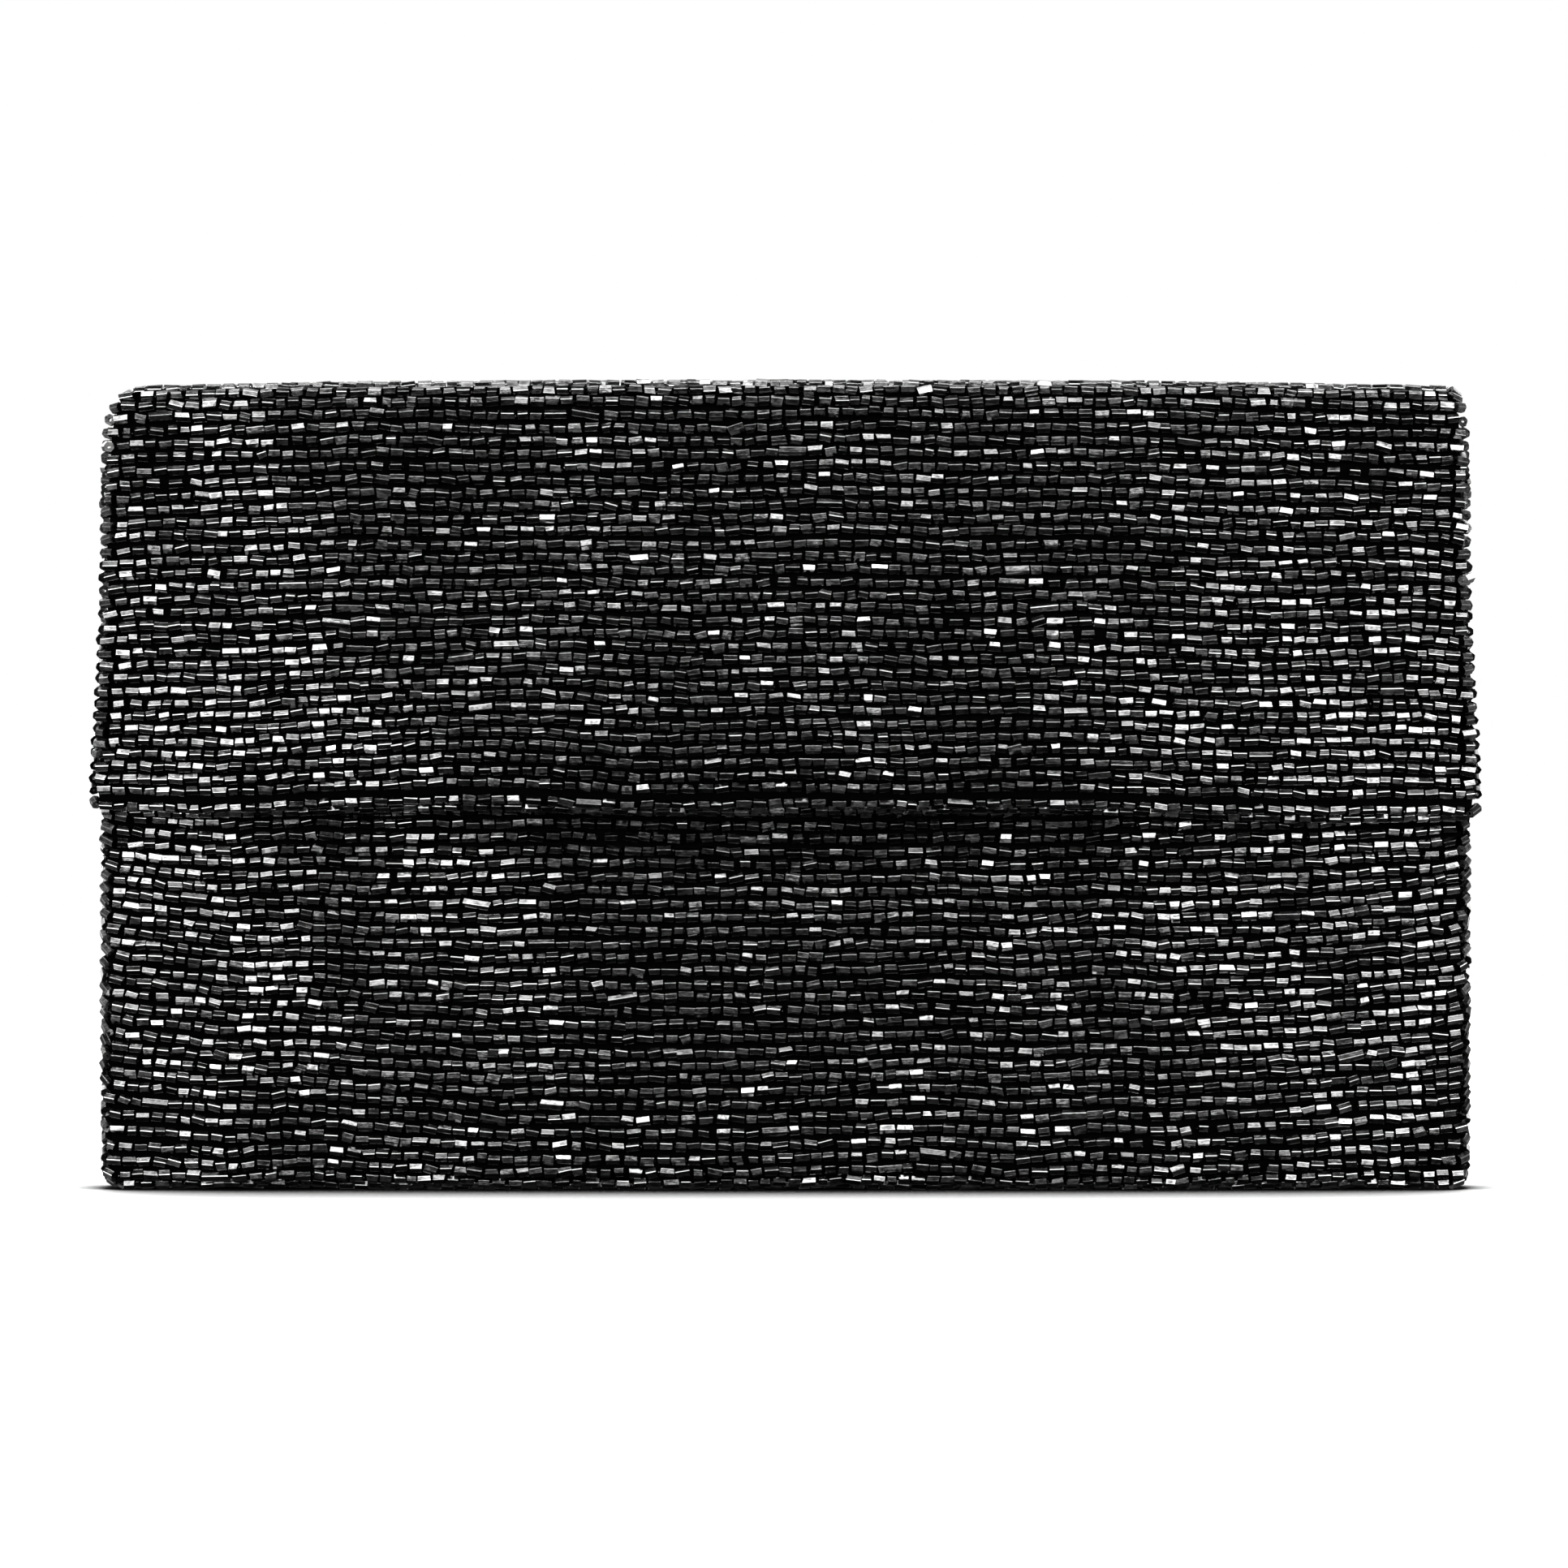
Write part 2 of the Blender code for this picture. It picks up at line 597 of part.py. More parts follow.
def snap_stud(facing, board, wadding, metal):
    """The half on the flap: a disc with a post and prongs, and its washer behind the flap's board."""
    place = snap_place(flap_depth(SNAP_HEIGHT, 0.0) + flap_bulge(SNAP_HEIGHT))  # local zero is the facing
    for obj in (facing, board):
        slit(obj, place, 3 * MM)
    hole = lathe("wadding_hole", disc(7.4 * MM, FLAP_BOARD[1], 4 * MM), place)
    boolean(wadding, hole, "DIFFERENCE")
    plate = -0.3 * MM
    profile = [
        (0.0, plate), (7.0 * MM, plate), (7.0 * MM, plate - 0.4 * MM), (6.8 * MM, plate - 0.6 * MM),
        (1.9 * MM, plate - 0.6 * MM), (1.9 * MM, plate - 2.2 * MM), (1.6 * MM, plate - 2.5 * MM),
        (0.0, plate - 2.5 * MM),
    ]
    stud = lathe("stud_base", profile, place)
    washer_low = FLAP_BOARD[1] + 0.12 * MM
    washer_top = washer_low + SHEET_METAL - 0.1 * MM
    pronged(stud, plate - 0.2 * MM, washer_top + 0.1 * MM, 0.75, place)
    washer = lathe("stud_washer", disc(6.5 * MM, washer_low, washer_top), place)
    slit(washer, place, 4 * MM)
    for obj in (stud, washer):
        finish(obj, metal)


# ---- Assembly -----------------------------------------------------------------------------------------------
def hang(name, centre, names, parent=None):
    """An empty on a fold's hinge line, along X, that carries the named objects."""
    y, z = hinge_point(centre)
    pivot = bpy.data.objects.new(name, None)
    bpy.context.scene.collection.objects.link(pivot)
    pivot.empty_display_size = 0.02
    place = Matrix.Translation((0, MIDDLE_Y + y, z))
    pivot.matrix_world = place
    if parent:
        pivot.parent = parent
        pivot.matrix_parent_inverse = parent.matrix_world.inverted()
    for item in names:
        obj = bpy.data.objects[item]
        obj.parent = pivot
        obj.matrix_parent_inverse = place.inverted()
    return pivot


def build():
    for obj in list(bpy.data.objects):
        bpy.data.objects.remove(obj)
    beads = material("gunmetal_glass_beads", (0.035, 0.037, 0.042), 0.25, 0.8)
    satin = material("black_satin", (0.012, 0.012, 0.014), 0.4)
    wadding = material("grey_wadding", (0.25, 0.25, 0.26), 0.95)
    board = material("grey_board", (0.32, 0.29, 0.25), 0.9)
    metal = material("dark_nickel_plate", (0.30, 0.30, 0.32), 0.28, 1.0)
    ferrite = material("ferrite", (0.03, 0.03, 0.032), 0.6)
    front_rules = (FRONT_BASE_BULGE, FRONT_BULGE)
    back_rules = (BACK_BASE_BULGE, BACK_BULGE)

    front = finish(front_panel(), beads)
    finish(back_panel(), beads)
    layers = []
    for side, name, rules in ((-1, "front", front_rules), (1, "back", back_rules)):
        pad = wall_layer(name + "_wadding", side, WADDING, BOARD_HALF_WIDTH, BOARD_RANGE, rules)
        stiff = wall_layer(name + "_stiffener", side, BOARD, BOARD_HALF_WIDTH, BOARD_RANGE, rules)
        layers += [finish(pad, wadding), finish(stiff, board)]
    finish(lining("front_lining", -1, FRONT_LINING, front_rules), satin)
    finish(lining("back_lining", 1, BACK_LINING, back_rules), satin)
    finish(mouth_binding(), satin)
    pocket = wall_layer("slip_pocket", 1, POCKET, POCKET_HALF_WIDTH, POCKET_RANGE, back_rules)
    finish(pocket, satin)

    finish(spine_strip(), beads)
    finish(spine_lining(), satin)
    finish(flap_panel(), beads)
    facing_range = (FLAP_LOWER_EDGE + FACING_INSET, MOUTH_HEIGHT)
    flap_facing = finish(flap_layer("flap_facing", FACING, FACING_INSET, facing_range), satin)
    flap_board = finish(flap_layer("flap_stiffener", FLAP_BOARD, FLAP_BOARD_INSET, FLAP_BOARD_RANGE), board)
    flap_pad = finish(flap_layer("flap_wadding", FLAP_WADDING, FLAP_BOARD_INSET, FLAP_BOARD_RANGE), wadding)

    snap_socket(front, layers[:2], metal, ferrite)
    snap_stud(flap_facing, flap_board, flap_pad, metal)

    spine_pivot = hang("spine_fold", REAR_FOLD, ["spine_beaded_strip", "spine_lining"])
    flap_pieces = ["flap_beaded_panel", "flap_facing", "flap_stiffener", "flap_wadding", "stud_base", "stud_washer"]
    hang("flap_fold", FRONT_FOLD, flap_pieces, spine_pivot)


build()
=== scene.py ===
"""Looks of a beaded envelope clutch: cut-glass beads sewn in rows on black ground cloth, satin inside, a
magnetic snap.

The beads are real geometry. Each zone of the beaded cloth is a grid of points; rows of beads are laid on it
at an even distance along the cloth, so they follow the cloth over its folds and round its sides. Metres, +Z
up, -Y is the front.
"""

import math

import bpy
import numpy as np
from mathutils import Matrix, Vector

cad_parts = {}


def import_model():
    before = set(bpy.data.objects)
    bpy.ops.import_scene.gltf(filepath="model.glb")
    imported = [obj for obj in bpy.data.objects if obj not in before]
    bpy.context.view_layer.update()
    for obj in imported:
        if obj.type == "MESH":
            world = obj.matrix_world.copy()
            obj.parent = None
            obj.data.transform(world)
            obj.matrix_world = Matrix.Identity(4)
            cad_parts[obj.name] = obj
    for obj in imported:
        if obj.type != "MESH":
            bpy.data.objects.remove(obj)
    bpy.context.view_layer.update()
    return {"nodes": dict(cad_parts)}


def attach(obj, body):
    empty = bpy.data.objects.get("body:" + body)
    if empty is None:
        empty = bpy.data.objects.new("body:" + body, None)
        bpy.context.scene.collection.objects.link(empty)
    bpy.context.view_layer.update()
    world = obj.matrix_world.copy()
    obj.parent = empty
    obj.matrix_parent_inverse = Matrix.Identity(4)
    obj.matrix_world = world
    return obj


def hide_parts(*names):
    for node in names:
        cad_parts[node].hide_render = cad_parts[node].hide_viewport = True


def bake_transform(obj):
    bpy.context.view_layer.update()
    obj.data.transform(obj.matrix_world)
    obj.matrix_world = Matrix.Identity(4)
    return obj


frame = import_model()
MM = 0.001

# ---- Sizes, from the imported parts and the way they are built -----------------
MIDDLE_Y = 3.962 * MM  # the pouch's middle plane
HALF_WIDTH = 129.2 * MM
SIDE_DEPTH = 7.5 * MM  # middle plane to a wall's outer face, at its sides
MOUTH = 145.2 * MM
BULGE_HEIGHT = 74.0 * MM
FRONT_BULGES = (3.0 * MM, 5.0 * MM)
BACK_BULGES = (1.5 * MM, 3.5 * MM)
BULGE_POWER = 2.6
BASE_RADIUS = 3.5 * MM
SIDE_TURN = 2.2 * MM
CORNER_INSET = 2.5 * MM
SPINE_RADIUS = 5.5 * MM
FOLD_HEIGHT = 147.3 * MM
FLAP_LOW = 69.5 * MM
FLAP_HALF_TOP = 128.5 * MM
FLAP_HALF_LOW = 131.5 * MM
FLAP_TURN = 2.6 * MM
FLAP_GAP = 1.4 * MM
FLAP_THICKNESS = 4.65 * MM
FLAP_TUCK = 0.9 * MM
FLAP_THINNING = 1.25 * MM
FLAP_TUCK_HEIGHT = 14.0 * MM
FLAP_EDGE_RADIUS = 3.0 * MM
FLAP_BULGE_SHARE = 1.12
SNAP_Z = 90.0 * MM
REAR_FOLD_Y = MIDDLE_Y + SIDE_DEPTH - SPINE_RADIUS
FRONT_FOLD_Y = MIDDLE_Y - (SIDE_DEPTH + FLAP_GAP + FLAP_THICKNESS - SPINE_RADIUS)
TOP = FOLD_HEIGHT + SPINE_RADIUS

BEAD_LENGTH = 2.15 * MM
BEAD_RADIUS = 0.97 * MM  # to a corner of its section
BEAD_EDGE = 0.13  # half the angle that a rounded edge takes up, in radians
BEAD_HOLE = 0.36  # of its radius
LENGTH_SPREAD = 0.3 * MM
LENGTH_RANGE = (1.6 * MM, 3.1 * MM)
LONG_SHARE, LONG_RANGE = 0.01, (4.2 * MM, 5.2 * MM)  # a few are uncut doubles
BEAD_GAP, GAP_SPREAD = 0.36 * MM, 0.2 * MM  # the least gap, and the mean of what is added
SKIP_SHARE, SKIP_GAP = 0.012, 1.6 * MM  # here and there the thread shows
BEAD_YAW, BEAD_PITCH = 0.085, 0.045  # how far they lie askew, in radians
BEAD_SHIFTS = (0.06 * MM, 0.11 * MM)  # in depth, across the row
END_SLANT = 0.13
ROW_PITCH = 2.5 * MM
BEAD_DEPTH = 0.8 * MM  # the beads' centres lie this far under the outer face
CLOTH_DEPTH = 1.62 * MM  # and the ground cloth this far
CLOTH_THICKNESS = 0.3 * MM
WADDING_DEPTHS = (2.3 * MM, 3.0 * MM)
FLAP_WADDING = (1.6 * MM, 2.35 * MM)  # over the facing
FACING = 0.45 * MM  # its thickness
FACING_INSET = 2.6 * MM  # from the flap's sides
FACING_RISE = 2.2 * MM  # over the flap's lower edge
FACING_TOP = 146.0 * MM
BARE_RADIUS = 8.6 * MM  # no beads round the snap
LINING_TOP = 144.2 * MM
LININGS = {-1: (5.1 * MM, 5.5 * MM), 1: (4.4 * MM, 4.8 * MM)}
LINING_HEM = 2.2 * MM
LINING_HEM_HEIGHT = 14.0 * MM
BINDING_RADIUS = 1.25 * MM
BINDING_THICKNESS = 0.3 * MM
BINDING_LEGS = (0.8 * MM, 5.5 * MM)  # outside the wall, inside it
BINDING_DEPTH = 1.75 * MM  # its middle lies this far under the wall's outer face
BINDING_HALF = 126.5 * MM
POCKET_DEPTHS = (5.3 * MM, 5.7 * MM)
POCKET_HALF_WIDTH = 60.0 * MM
POCKET_RANGE = (40.0 * MM, 116.0 * MM)
PAD_HALF_WIDTH = 122.0 * MM
PAD_RANGE = (6.0 * MM, 140.0 * MM)
FLAP_PAD_INSET = 5.0 * MM  # from the flap's sides and its lower edge
FLAP_PAD_TOP = 145.0 * MM
FOLD_SATIN = (0.15 * MM, 0.5 * MM)  # its faces, under the fold cloth's inner face
SEAM_GAP = 0.15 * MM  # the beads end this far from the middle plane

# How far the filled cloth lies from its plain shape
SWELL = 0.3 * MM
PUCKER_DEPTH = 0.5 * MM
BASE_RISE = 0.3 * MM
SAG_HEIGHT = 0.3 * MM
TOP_DROOP = (0.15 * MM, 0.9 * MM)  # all along, and more towards the ends
DROOP_HALF = 118.0 * MM
SIDE_FADE = 30.0 * MM  # all of it but the droop fades out over this at the sides

# The drift of the bead rows
ROW_WAVE = 0.2 * MM
ROW_OFFSET = 0.07 * MM
SIDE_REACH = 7.0 * MM
WALL_SIDE_RISE = 1.2 * MM
WALL_LOW_RISE = 1.6 * MM
FLAP_SIDE_DROOP = 1.3 * MM
LIP = 3.6 * MM  # the rows this near the flap's end are its lip
LIP_SEAM = 1.0 * MM  # how far the rows over the lip stand off from it


# ---- Materials ---------------------------------------------------------------
def linear(hex_colour):
    """An sRGB hex colour as linear RGBA."""
    values = [int(hex_colour[i : i + 2], 16) / 255 for i in (1, 3, 5)]
    return [v / 12.92 if v <= 0.04045 else ((v + 0.055) / 1.055) ** 2.4 for v in values] + [1.0]


def new_material(name, colour, roughness, metallic=0.0, **sockets):
    """A material and its shader. Other sockets are given by name, with _ for a space."""
    material = bpy.data.materials.new(name)
    material.use_nodes = True
    shader = material.node_tree.nodes["Principled BSDF"]
    shader.inputs["Base Color"].default_value = linear(colour)
    shader.inputs["Roughness"].default_value = roughness
    shader.inputs["Metallic"].default_value = metallic
    for socket, value in sockets.items():
        shader.inputs[socket.replace("_", " ")].default_value = value
    return material, shader


def add(owner, kind, links=(), values=(), **settings):
    """Adds a node to a material or the world, with its settings, its sockets' values and its links in, each
    link given as socket: source output."""
    node = owner.node_tree.nodes.new("ShaderNode" + kind)
    for key, value in settings.items():
        setattr(node, key, value)
    for key, value in dict(values).items():
        node.inputs[key].default_value = value
    for key, source in dict(links).items():
        owner.node_tree.links.new(source, node.inputs[key])
    return node


def link(material, source, socket):
    material.node_tree.links.new(source, socket)


def ramp_stops(node, stops):
    """Sets a colour ramp's stops, given as (position, hex colour)."""
    elements = node.color_ramp.elements
    while len(elements) > 1:
        elements.remove(elements[-1])
    elements[0].position, elements[0].color = stops[0][0], linear(stops[0][1])
    for position, colour in stops[1:]:
        elements.new(position).color = linear(colour)
    return node


def bead_glass():
    """Two-cut glass seed beads with a gunmetal lustre, cut from drawn cane. The metal film makes the facets
    mirror their surroundings darkly. It is streaked along the cane, on a scale of tenths of a millimetre, and
    worn patchy; each bead has its own tone. The rounded edges between facets are given a lighter colour, a
    painted highlight that brightens the lines of light they catch."""
    material, shader = new_material("gunmetal_cut_glass", "#6c6c6c", 0.2, 1.0)
    place = add(material, "TexCoord")
    tone = add(material, "Attribute", attribute_name="tone")
    drawn = add(
        material, "Mapping", {"Vector": place.outputs["Object"]}, {"Scale": (900.0, 2600.0, 2600.0)}
    )
    streaks = add(
        material,
        "TexNoise",
        {"Vector": drawn.outputs["Vector"]},
        {"Scale": 1.0, "Detail": 3.0, "Roughness": 0.65},
    )
    patches = add(material, "TexNoise", {"Vector": place.outputs["Object"]}, {"Scale": 700.0, "Detail": 2.0})
    film = add(
        material,
        "MapRange",
        {"Value": streaks.outputs["Fac"]},
        {"From Min": 0.3, "From Max": 0.7, "To Min": 0.08, "To Max": 0.24},
    )
    link(material, film.outputs["Result"], shader.inputs["Roughness"])
    shade = ramp_stops(
        add(material, "ValToRGB", {"Fac": tone.outputs["Fac"]}),
        [(0.0, "#343434"), (0.35, "#646464"), (0.75, "#8e8e8e"), (1.0, "#c6c6c6")],
    )
    speck = ramp_stops(
        add(material, "ValToRGB", {"Fac": streaks.outputs["Fac"]}), [(0.32, "#6c6c6c"), (0.56, "#ffffff")]
    )
    worn = ramp_stops(
        add(material, "ValToRGB", {"Fac": patches.outputs["Fac"]}), [(0.34, "#7d7d7d"), (0.5, "#ffffff")]
    )
    film_colour = worn.outputs["Color"]
    for under in (speck, shade):
        darkened = add(
            material,
            "Mix",
            {6: under.outputs["Color"], 7: film_colour},
            {0: 0.85},
            data_type="RGBA",
            blend_type="MULTIPLY",
        )
        film_colour = darkened.outputs[2]
    # Painted highlight: faces marked as rounded edges are mixed half way to a light grey, so their lines of
    # light read brighter.
    edge = add(material, "Attribute", attribute_name="edge")
    painted_edge_highlight = add(material, "Math", {0: edge.outputs["Fac"]}, {1: 0.5}, operation="MULTIPLY")
    whole = add(
        material, "Mix", {0: painted_edge_highlight.outputs[0], 6: film_colour}, {7: linear("#cdcdcd")}, data_type="RGBA"
    )
    link(material, whole.outputs[2], shader.inputs["Base Color"])
    dimple = add(
        material, "Bump", {"Height": streaks.outputs["Fac"]}, {"Strength": 0.3, "Distance": 0.02 * MM}
    )
    link(material, dimple.outputs["Normal"], shader.inputs["Normal"])
    return material


def woven_black():
    """Black cotton ground cloth, plain weave of 0.35 mm threads; nearly all of it lies in the shade of the
    beads."""
    # Darker than any real black cotton: its own black, deepened as painted shade so the gaps between the
    # beads read as deep shadow.
    material, shader = new_material("black_ground_cloth", "#010101", 0.95, Specular_IOR_Level=0.02)
    place = add(material, "TexCoord")
    warp, weft = (
        add(
            material,
            "TexWave",
            {"Vector": place.outputs["Object"]},
            {"Scale": 450.0, "Distortion": 0.6},
            bands_direction=direction,
        )
        for direction in "XZ"
    )
    weave = add(material, "Math", {0: warp.outputs["Fac"], 1: weft.outputs["Fac"]}, operation="MULTIPLY")
    relief = add(
        material, "Bump", {"Height": weave.outputs["Value"]}, {"Strength": 0.5, "Distance": 0.1 * MM}
    )
    link(material, relief.outputs["Normal"], shader.inputs["Normal"])
    return material


def satin_black():
    """Black polyester satin, its long floats lying across: a soft anisotropic lustre with fine ribs and
    slight unevenness where it is drawn over the layer under it."""
    material, shader = new_material(
        "black_satin", "#0c0c0e", 0.34, Sheen_Weight=0.12, Sheen_Roughness=0.35, Anisotropic=0.5
    )
    across = add(material, "CombineXYZ", (), {"X": 1.0})  # the floats' direction
    link(material, across.outputs["Vector"], shader.inputs["Tangent"])
    place = add(material, "TexCoord")
    fine = add(
        material, "Mapping", {"Vector": place.outputs["Object"]}, {"Scale": (120.0, 2600.0, 2600.0)}
    )
    threads = add(material, "TexNoise", {"Vector": fine.outputs["Vector"]}, {"Scale": 1.0, "Detail": 2.0})
    soft = add(material, "TexNoise", {"Vector": place.outputs["Object"]}, {"Scale": 70.0, "Detail": 2.0})
    gloss = add(
        material,
        "MapRange",
        {"Value": threads.outputs["Fac"]},
        {"From Min": 0.3, "From Max": 0.7, "To Min": 0.28, "To Max": 0.44},
    )
    link(material, gloss.outputs["Result"], shader.inputs["Roughness"])
    puckers = add(
        material, "Bump", {"Height": soft.outputs["Fac"]}, {"Strength": 0.25, "Distance": 0.6 * MM}
    )
    ribs = add(
        material,
        "Bump",
        {"Height": threads.outputs["Fac"], "Normal": puckers.outputs["Normal"]},
        {"Strength": 0.3, "Distance": 0.05 * MM},
    )
    link(material, ribs.outputs["Normal"], shader.inputs["Normal"])
    return material


def felted_wadding():
    """Grey polyester wadding, needle-felted: matt fibres with clumps about a millimetre across."""
    material, shader = new_material("grey_wadding", "#8b8b8d", 0.96)
    place = add(material, "TexCoord")
    fibres = add(material, "TexNoise", {"Vector": place.outputs["Object"]}, {"Scale": 900.0, "Detail": 6.0})
    tint = ramp_stops(
        add(material, "ValToRGB", {"Fac": fibres.outputs["Fac"]}), [(0.3, "#6d6d70"), (0.7, "#a0a0a2")]
    )
    link(material, tint.outputs["Color"], shader.inputs["Base Color"])
    relief = add(
        material, "Bump", {"Height": fibres.outputs["Fac"]}, {"Strength": 0.8, "Distance": 0.4 * MM}
    )
    link(material, relief.outputs["Normal"], shader.inputs["Normal"])
    return material


def grey_board():
    """Recycled grey chipboard: flat and matt, with fine flecks of pulp."""
    material, shader = new_material("grey_stiffener_board", "#8d867a", 0.9)
    place = add(material, "TexCoord")
    flecks = add(material, "TexNoise", {"Vector": place.outputs["Object"]}, {"Scale": 1400.0, "Detail": 5.0})
    tint = ramp_stops(
        add(material, "ValToRGB", {"Fac": flecks.outputs["Fac"]}), [(0.35, "#77705f"), (0.6, "#958e80")]
    )
    link(material, tint.outputs["Color"], shader.inputs["Base Color"])
    relief = add(
        material, "Bump", {"Height": flecks.outputs["Fac"]}, {"Strength": 0.2, "Distance": 0.05 * MM}
    )
    link(material, relief.outputs["Normal"], shader.inputs["Normal"])
    return material


def nickel_plate():
    """Stamped brass with dark nickel plate: bright, with hairlines from handling and slightly dulled
    patches."""
    material, shader = new_material("dark_nickel_plate", "#8f8f93", 0.22, 1.0)
    place = add(material, "TexCoord")
    stretch = add(
        material, "Mapping", {"Vector": place.outputs["Object"]}, {"Scale": (300.0, 300.0, 6000.0)}
    )
    hair = add(material, "TexNoise", {"Vector": stretch.outputs["Vector"]}, {"Scale": 1.0, "Detail": 3.0})
    dull = add(
        material,
        "MapRange",
        {"Value": hair.outputs["Fac"]},
        {"From Min": 0.3, "From Max": 0.7, "To Min": 0.2, "To Max": 0.27},
    )
    link(material, dull.outputs["Result"], shader.inputs["Roughness"])
    return material


def ferrite():
    """Pressed and sintered ferrite: near black and matt, with a fine grain."""
    material, shader = new_material("sintered_ferrite", "#1b1b1d", 0.62)
    place = add(material, "TexCoord")
    grain = add(material, "TexNoise", {"Vector": place.outputs["Object"]}, {"Scale": 5000.0, "Detail": 2.0})
    relief = add(
        material, "Bump", {"Height": grain.outputs["Fac"]}, {"Strength": 0.3, "Distance": 0.02 * MM}
    )
    link(material, relief.outputs["Normal"], shader.inputs["Normal"])
    return material


BEADS, CLOTH, SATIN = bead_glass(), woven_black(), satin_black()
WADDING, BOARD, METAL, FERRITE = felted_wadding(), grey_board(), nickel_plate(), ferrite()


# ---- The clutch's shape ------------------------------------------------------
def smoothstep(t):
    """3 t**2 - 2 t**3, with t held between 0 and 1."""
    t = np.clip(t, 0, 1)
    return t * t * (3 - 2 * t)


def bulge_share(x):
    """1 - |x / half width| ** power, at least 0: how the bulge fades towards the sides."""
    return np.clip(1 - (np.abs(x) / HALF_WIDTH) ** BULGE_POWER, 0, 1)


def bulge(z, base, full):
    """The bulge at a height: a quarter sine from base to full up to BULGE_HEIGHT, then half a cosine to the
    mouth."""
    rising = base + (full - base) * np.sin(np.pi / 2 * np.clip(z, 0, BULGE_HEIGHT) / BULGE_HEIGHT)
    t = np.clip((z - BULGE_HEIGHT) / (MOUTH - BULGE_HEIGHT), 0, 1)
    return np.where(z <= BULGE_HEIGHT, rising, full * 0.5 * (1 + np.cos(np.pi * t)))


def waves(seed, count, long_waves, short_waves):
    """A smooth random field of x and z: a sum of sines with random directions, between two wavelengths."""
    own = np.random.default_rng(seed)
    angle = own.uniform(0, 2 * np.pi, count)
    size = np.exp(own.uniform(np.log(short_waves), np.log(long_waves), count))
    phase = own.uniform(0, 2 * np.pi, count)
    kx, kz = 2 * np.pi / size * np.cos(angle), 2 * np.pi / size * np.sin(angle)
    weight = np.sqrt(2 / count)

    def field(x, z):
        total = np.zeros(np.broadcast(x, z).shape)
        for i in range(count):
            total = total + np.sin(kx[i] * x + kz[i] * z + phase[i])
        return total * weight

    return field


PUFF = {-1: waves(3, 9, 90 * MM, 30 * MM), 1: waves(4, 9, 110 * MM, 40 * MM)}
PUCKER = {-1: waves(5, 8, 40 * MM, 16 * MM), 1: waves(6, 8, 40 * MM, 16 * MM)}
SAG = waves(7, 6, 140 * MM, 50 * MM)
BASE_LIFT = waves(9, 7, 90 * MM, 22 * MM)
DRAG = waves(8, 9, 60 * MM, 17 * MM)
# How the top corners draw in: the inset at the very top, and the height over which it falls to 1/e.
CORNERS = {-1: (6.0 * MM, 3.2 * MM), 1: (2.2 * MM, 4.0 * MM)}


def settle(points, side, share=1.0):
    """The filled cloth's unevenness, added to points of one side: soft swells in depth, puckers that grow
    towards the base seam, a base that doesn't touch down everywhere, a soft sag, a top that droops towards
    its ends, and drawn-in top corners. share is how much of the swells and puckers a layer takes part in.
    Each is a random field times smooth steps of the height and of the distance from the sides. None of it
    moves the side seams in depth."""
    x, y, z = points[..., 0], points[..., 1], points[..., 2]
    out = np.clip(np.abs(y - MIDDLE_Y) / SIDE_DEPTH, 0, 1)
    inner = smoothstep((HALF_WIDTH - np.abs(x)) / SIDE_FADE)
    up = np.clip(z, 0, None)
    swell = SWELL * PUFF[side](x, z) * inner * smoothstep(z / (20 * MM))
    low = np.exp(-up / (16 * MM)) * smoothstep(z / (3 * MM))
    pucker = PUCKER_DEPTH * PUCKER[side](x, 0.25 * z) * low * inner
    lift = BASE_RISE * (1 + np.clip(BASE_LIFT(x, 0 * z), -1, 1)) * np.exp(-up / (9 * MM)) * inner
    droop = TOP_DROOP[0] + TOP_DROOP[1] * np.abs(x / DROOP_HALF) ** 3
    top = -droop * smoothstep((z - 90 * MM) / (60 * MM))
    held = smoothstep((z - 8 * MM) / (40 * MM)) * smoothstep((TOP - z) / (25 * MM))
    sag = SAG_HEIGHT * SAG(x, z) * held * inner
    below = np.clip(TOP - z, 0, None)
    left, right = (inset * np.exp(-below / height) for inset, height in (CORNERS[-1], CORNERS[1]))
    made = points.copy()
    made[..., 0] = x * (1 - np.where(x < 0, left, right) / HALF_WIDTH)
    made[..., 1] = y + side * (swell + pucker) * out * share
    made[..., 2] = z + top + sag + lift
    return made


def placed(x, y, z, side):
    """Points from x, the distance y from the middle plane towards a side, and the height z of each row."""
    return np.stack([x, MIDDLE_Y + side * y, np.broadcast_to(z[:, None], x.shape)], axis=-1)


FLAT_COLUMNS, TURN_COLUMNS, BACK_COLUMNS = 90, 14, 7  # of a grid: over its flat part, each turn and run back


def lateral(half_width, turn, share=1.0):
    """Across the clutch, from one side to the other: (x, e) where e is 1 over the flat part and falls to 0
    at the sides: first along a quarter of an ellipse that is turn wide and takes up share of the fall, then
    straight."""
    flat = np.linspace(-1, 1, FLAT_COLUMNS) * (1 - 1e-9)
    angle = np.linspace(0, np.pi / 2, TURN_COLUMNS)[1:]
    straight = np.linspace(1 - share, 0, BACK_COLUMNS)[1:] if share < 1 else np.zeros(0)
    e_turn = np.concatenate([1 - share + share * np.cos(angle), straight])
    inset = np.concatenate([1 - np.sin(angle), np.zeros(len(straight))])
    e = np.concatenate([e_turn[::-1], np.ones(FLAT_COLUMNS), e_turn])
    where = np.concatenate([np.full(len(inset), -1.0), flat, np.full(len(inset), 1.0)])
    back = np.concatenate([inset[::-1], np.ones(FLAT_COLUMNS), inset])
    half = np.asarray(half_width)[..., None]
    x = where * (half - turn) + np.sign(where) * turn * (1 - back) * (np.abs(where) >= 1)
    return x, np.broadcast_to(e, x.shape)


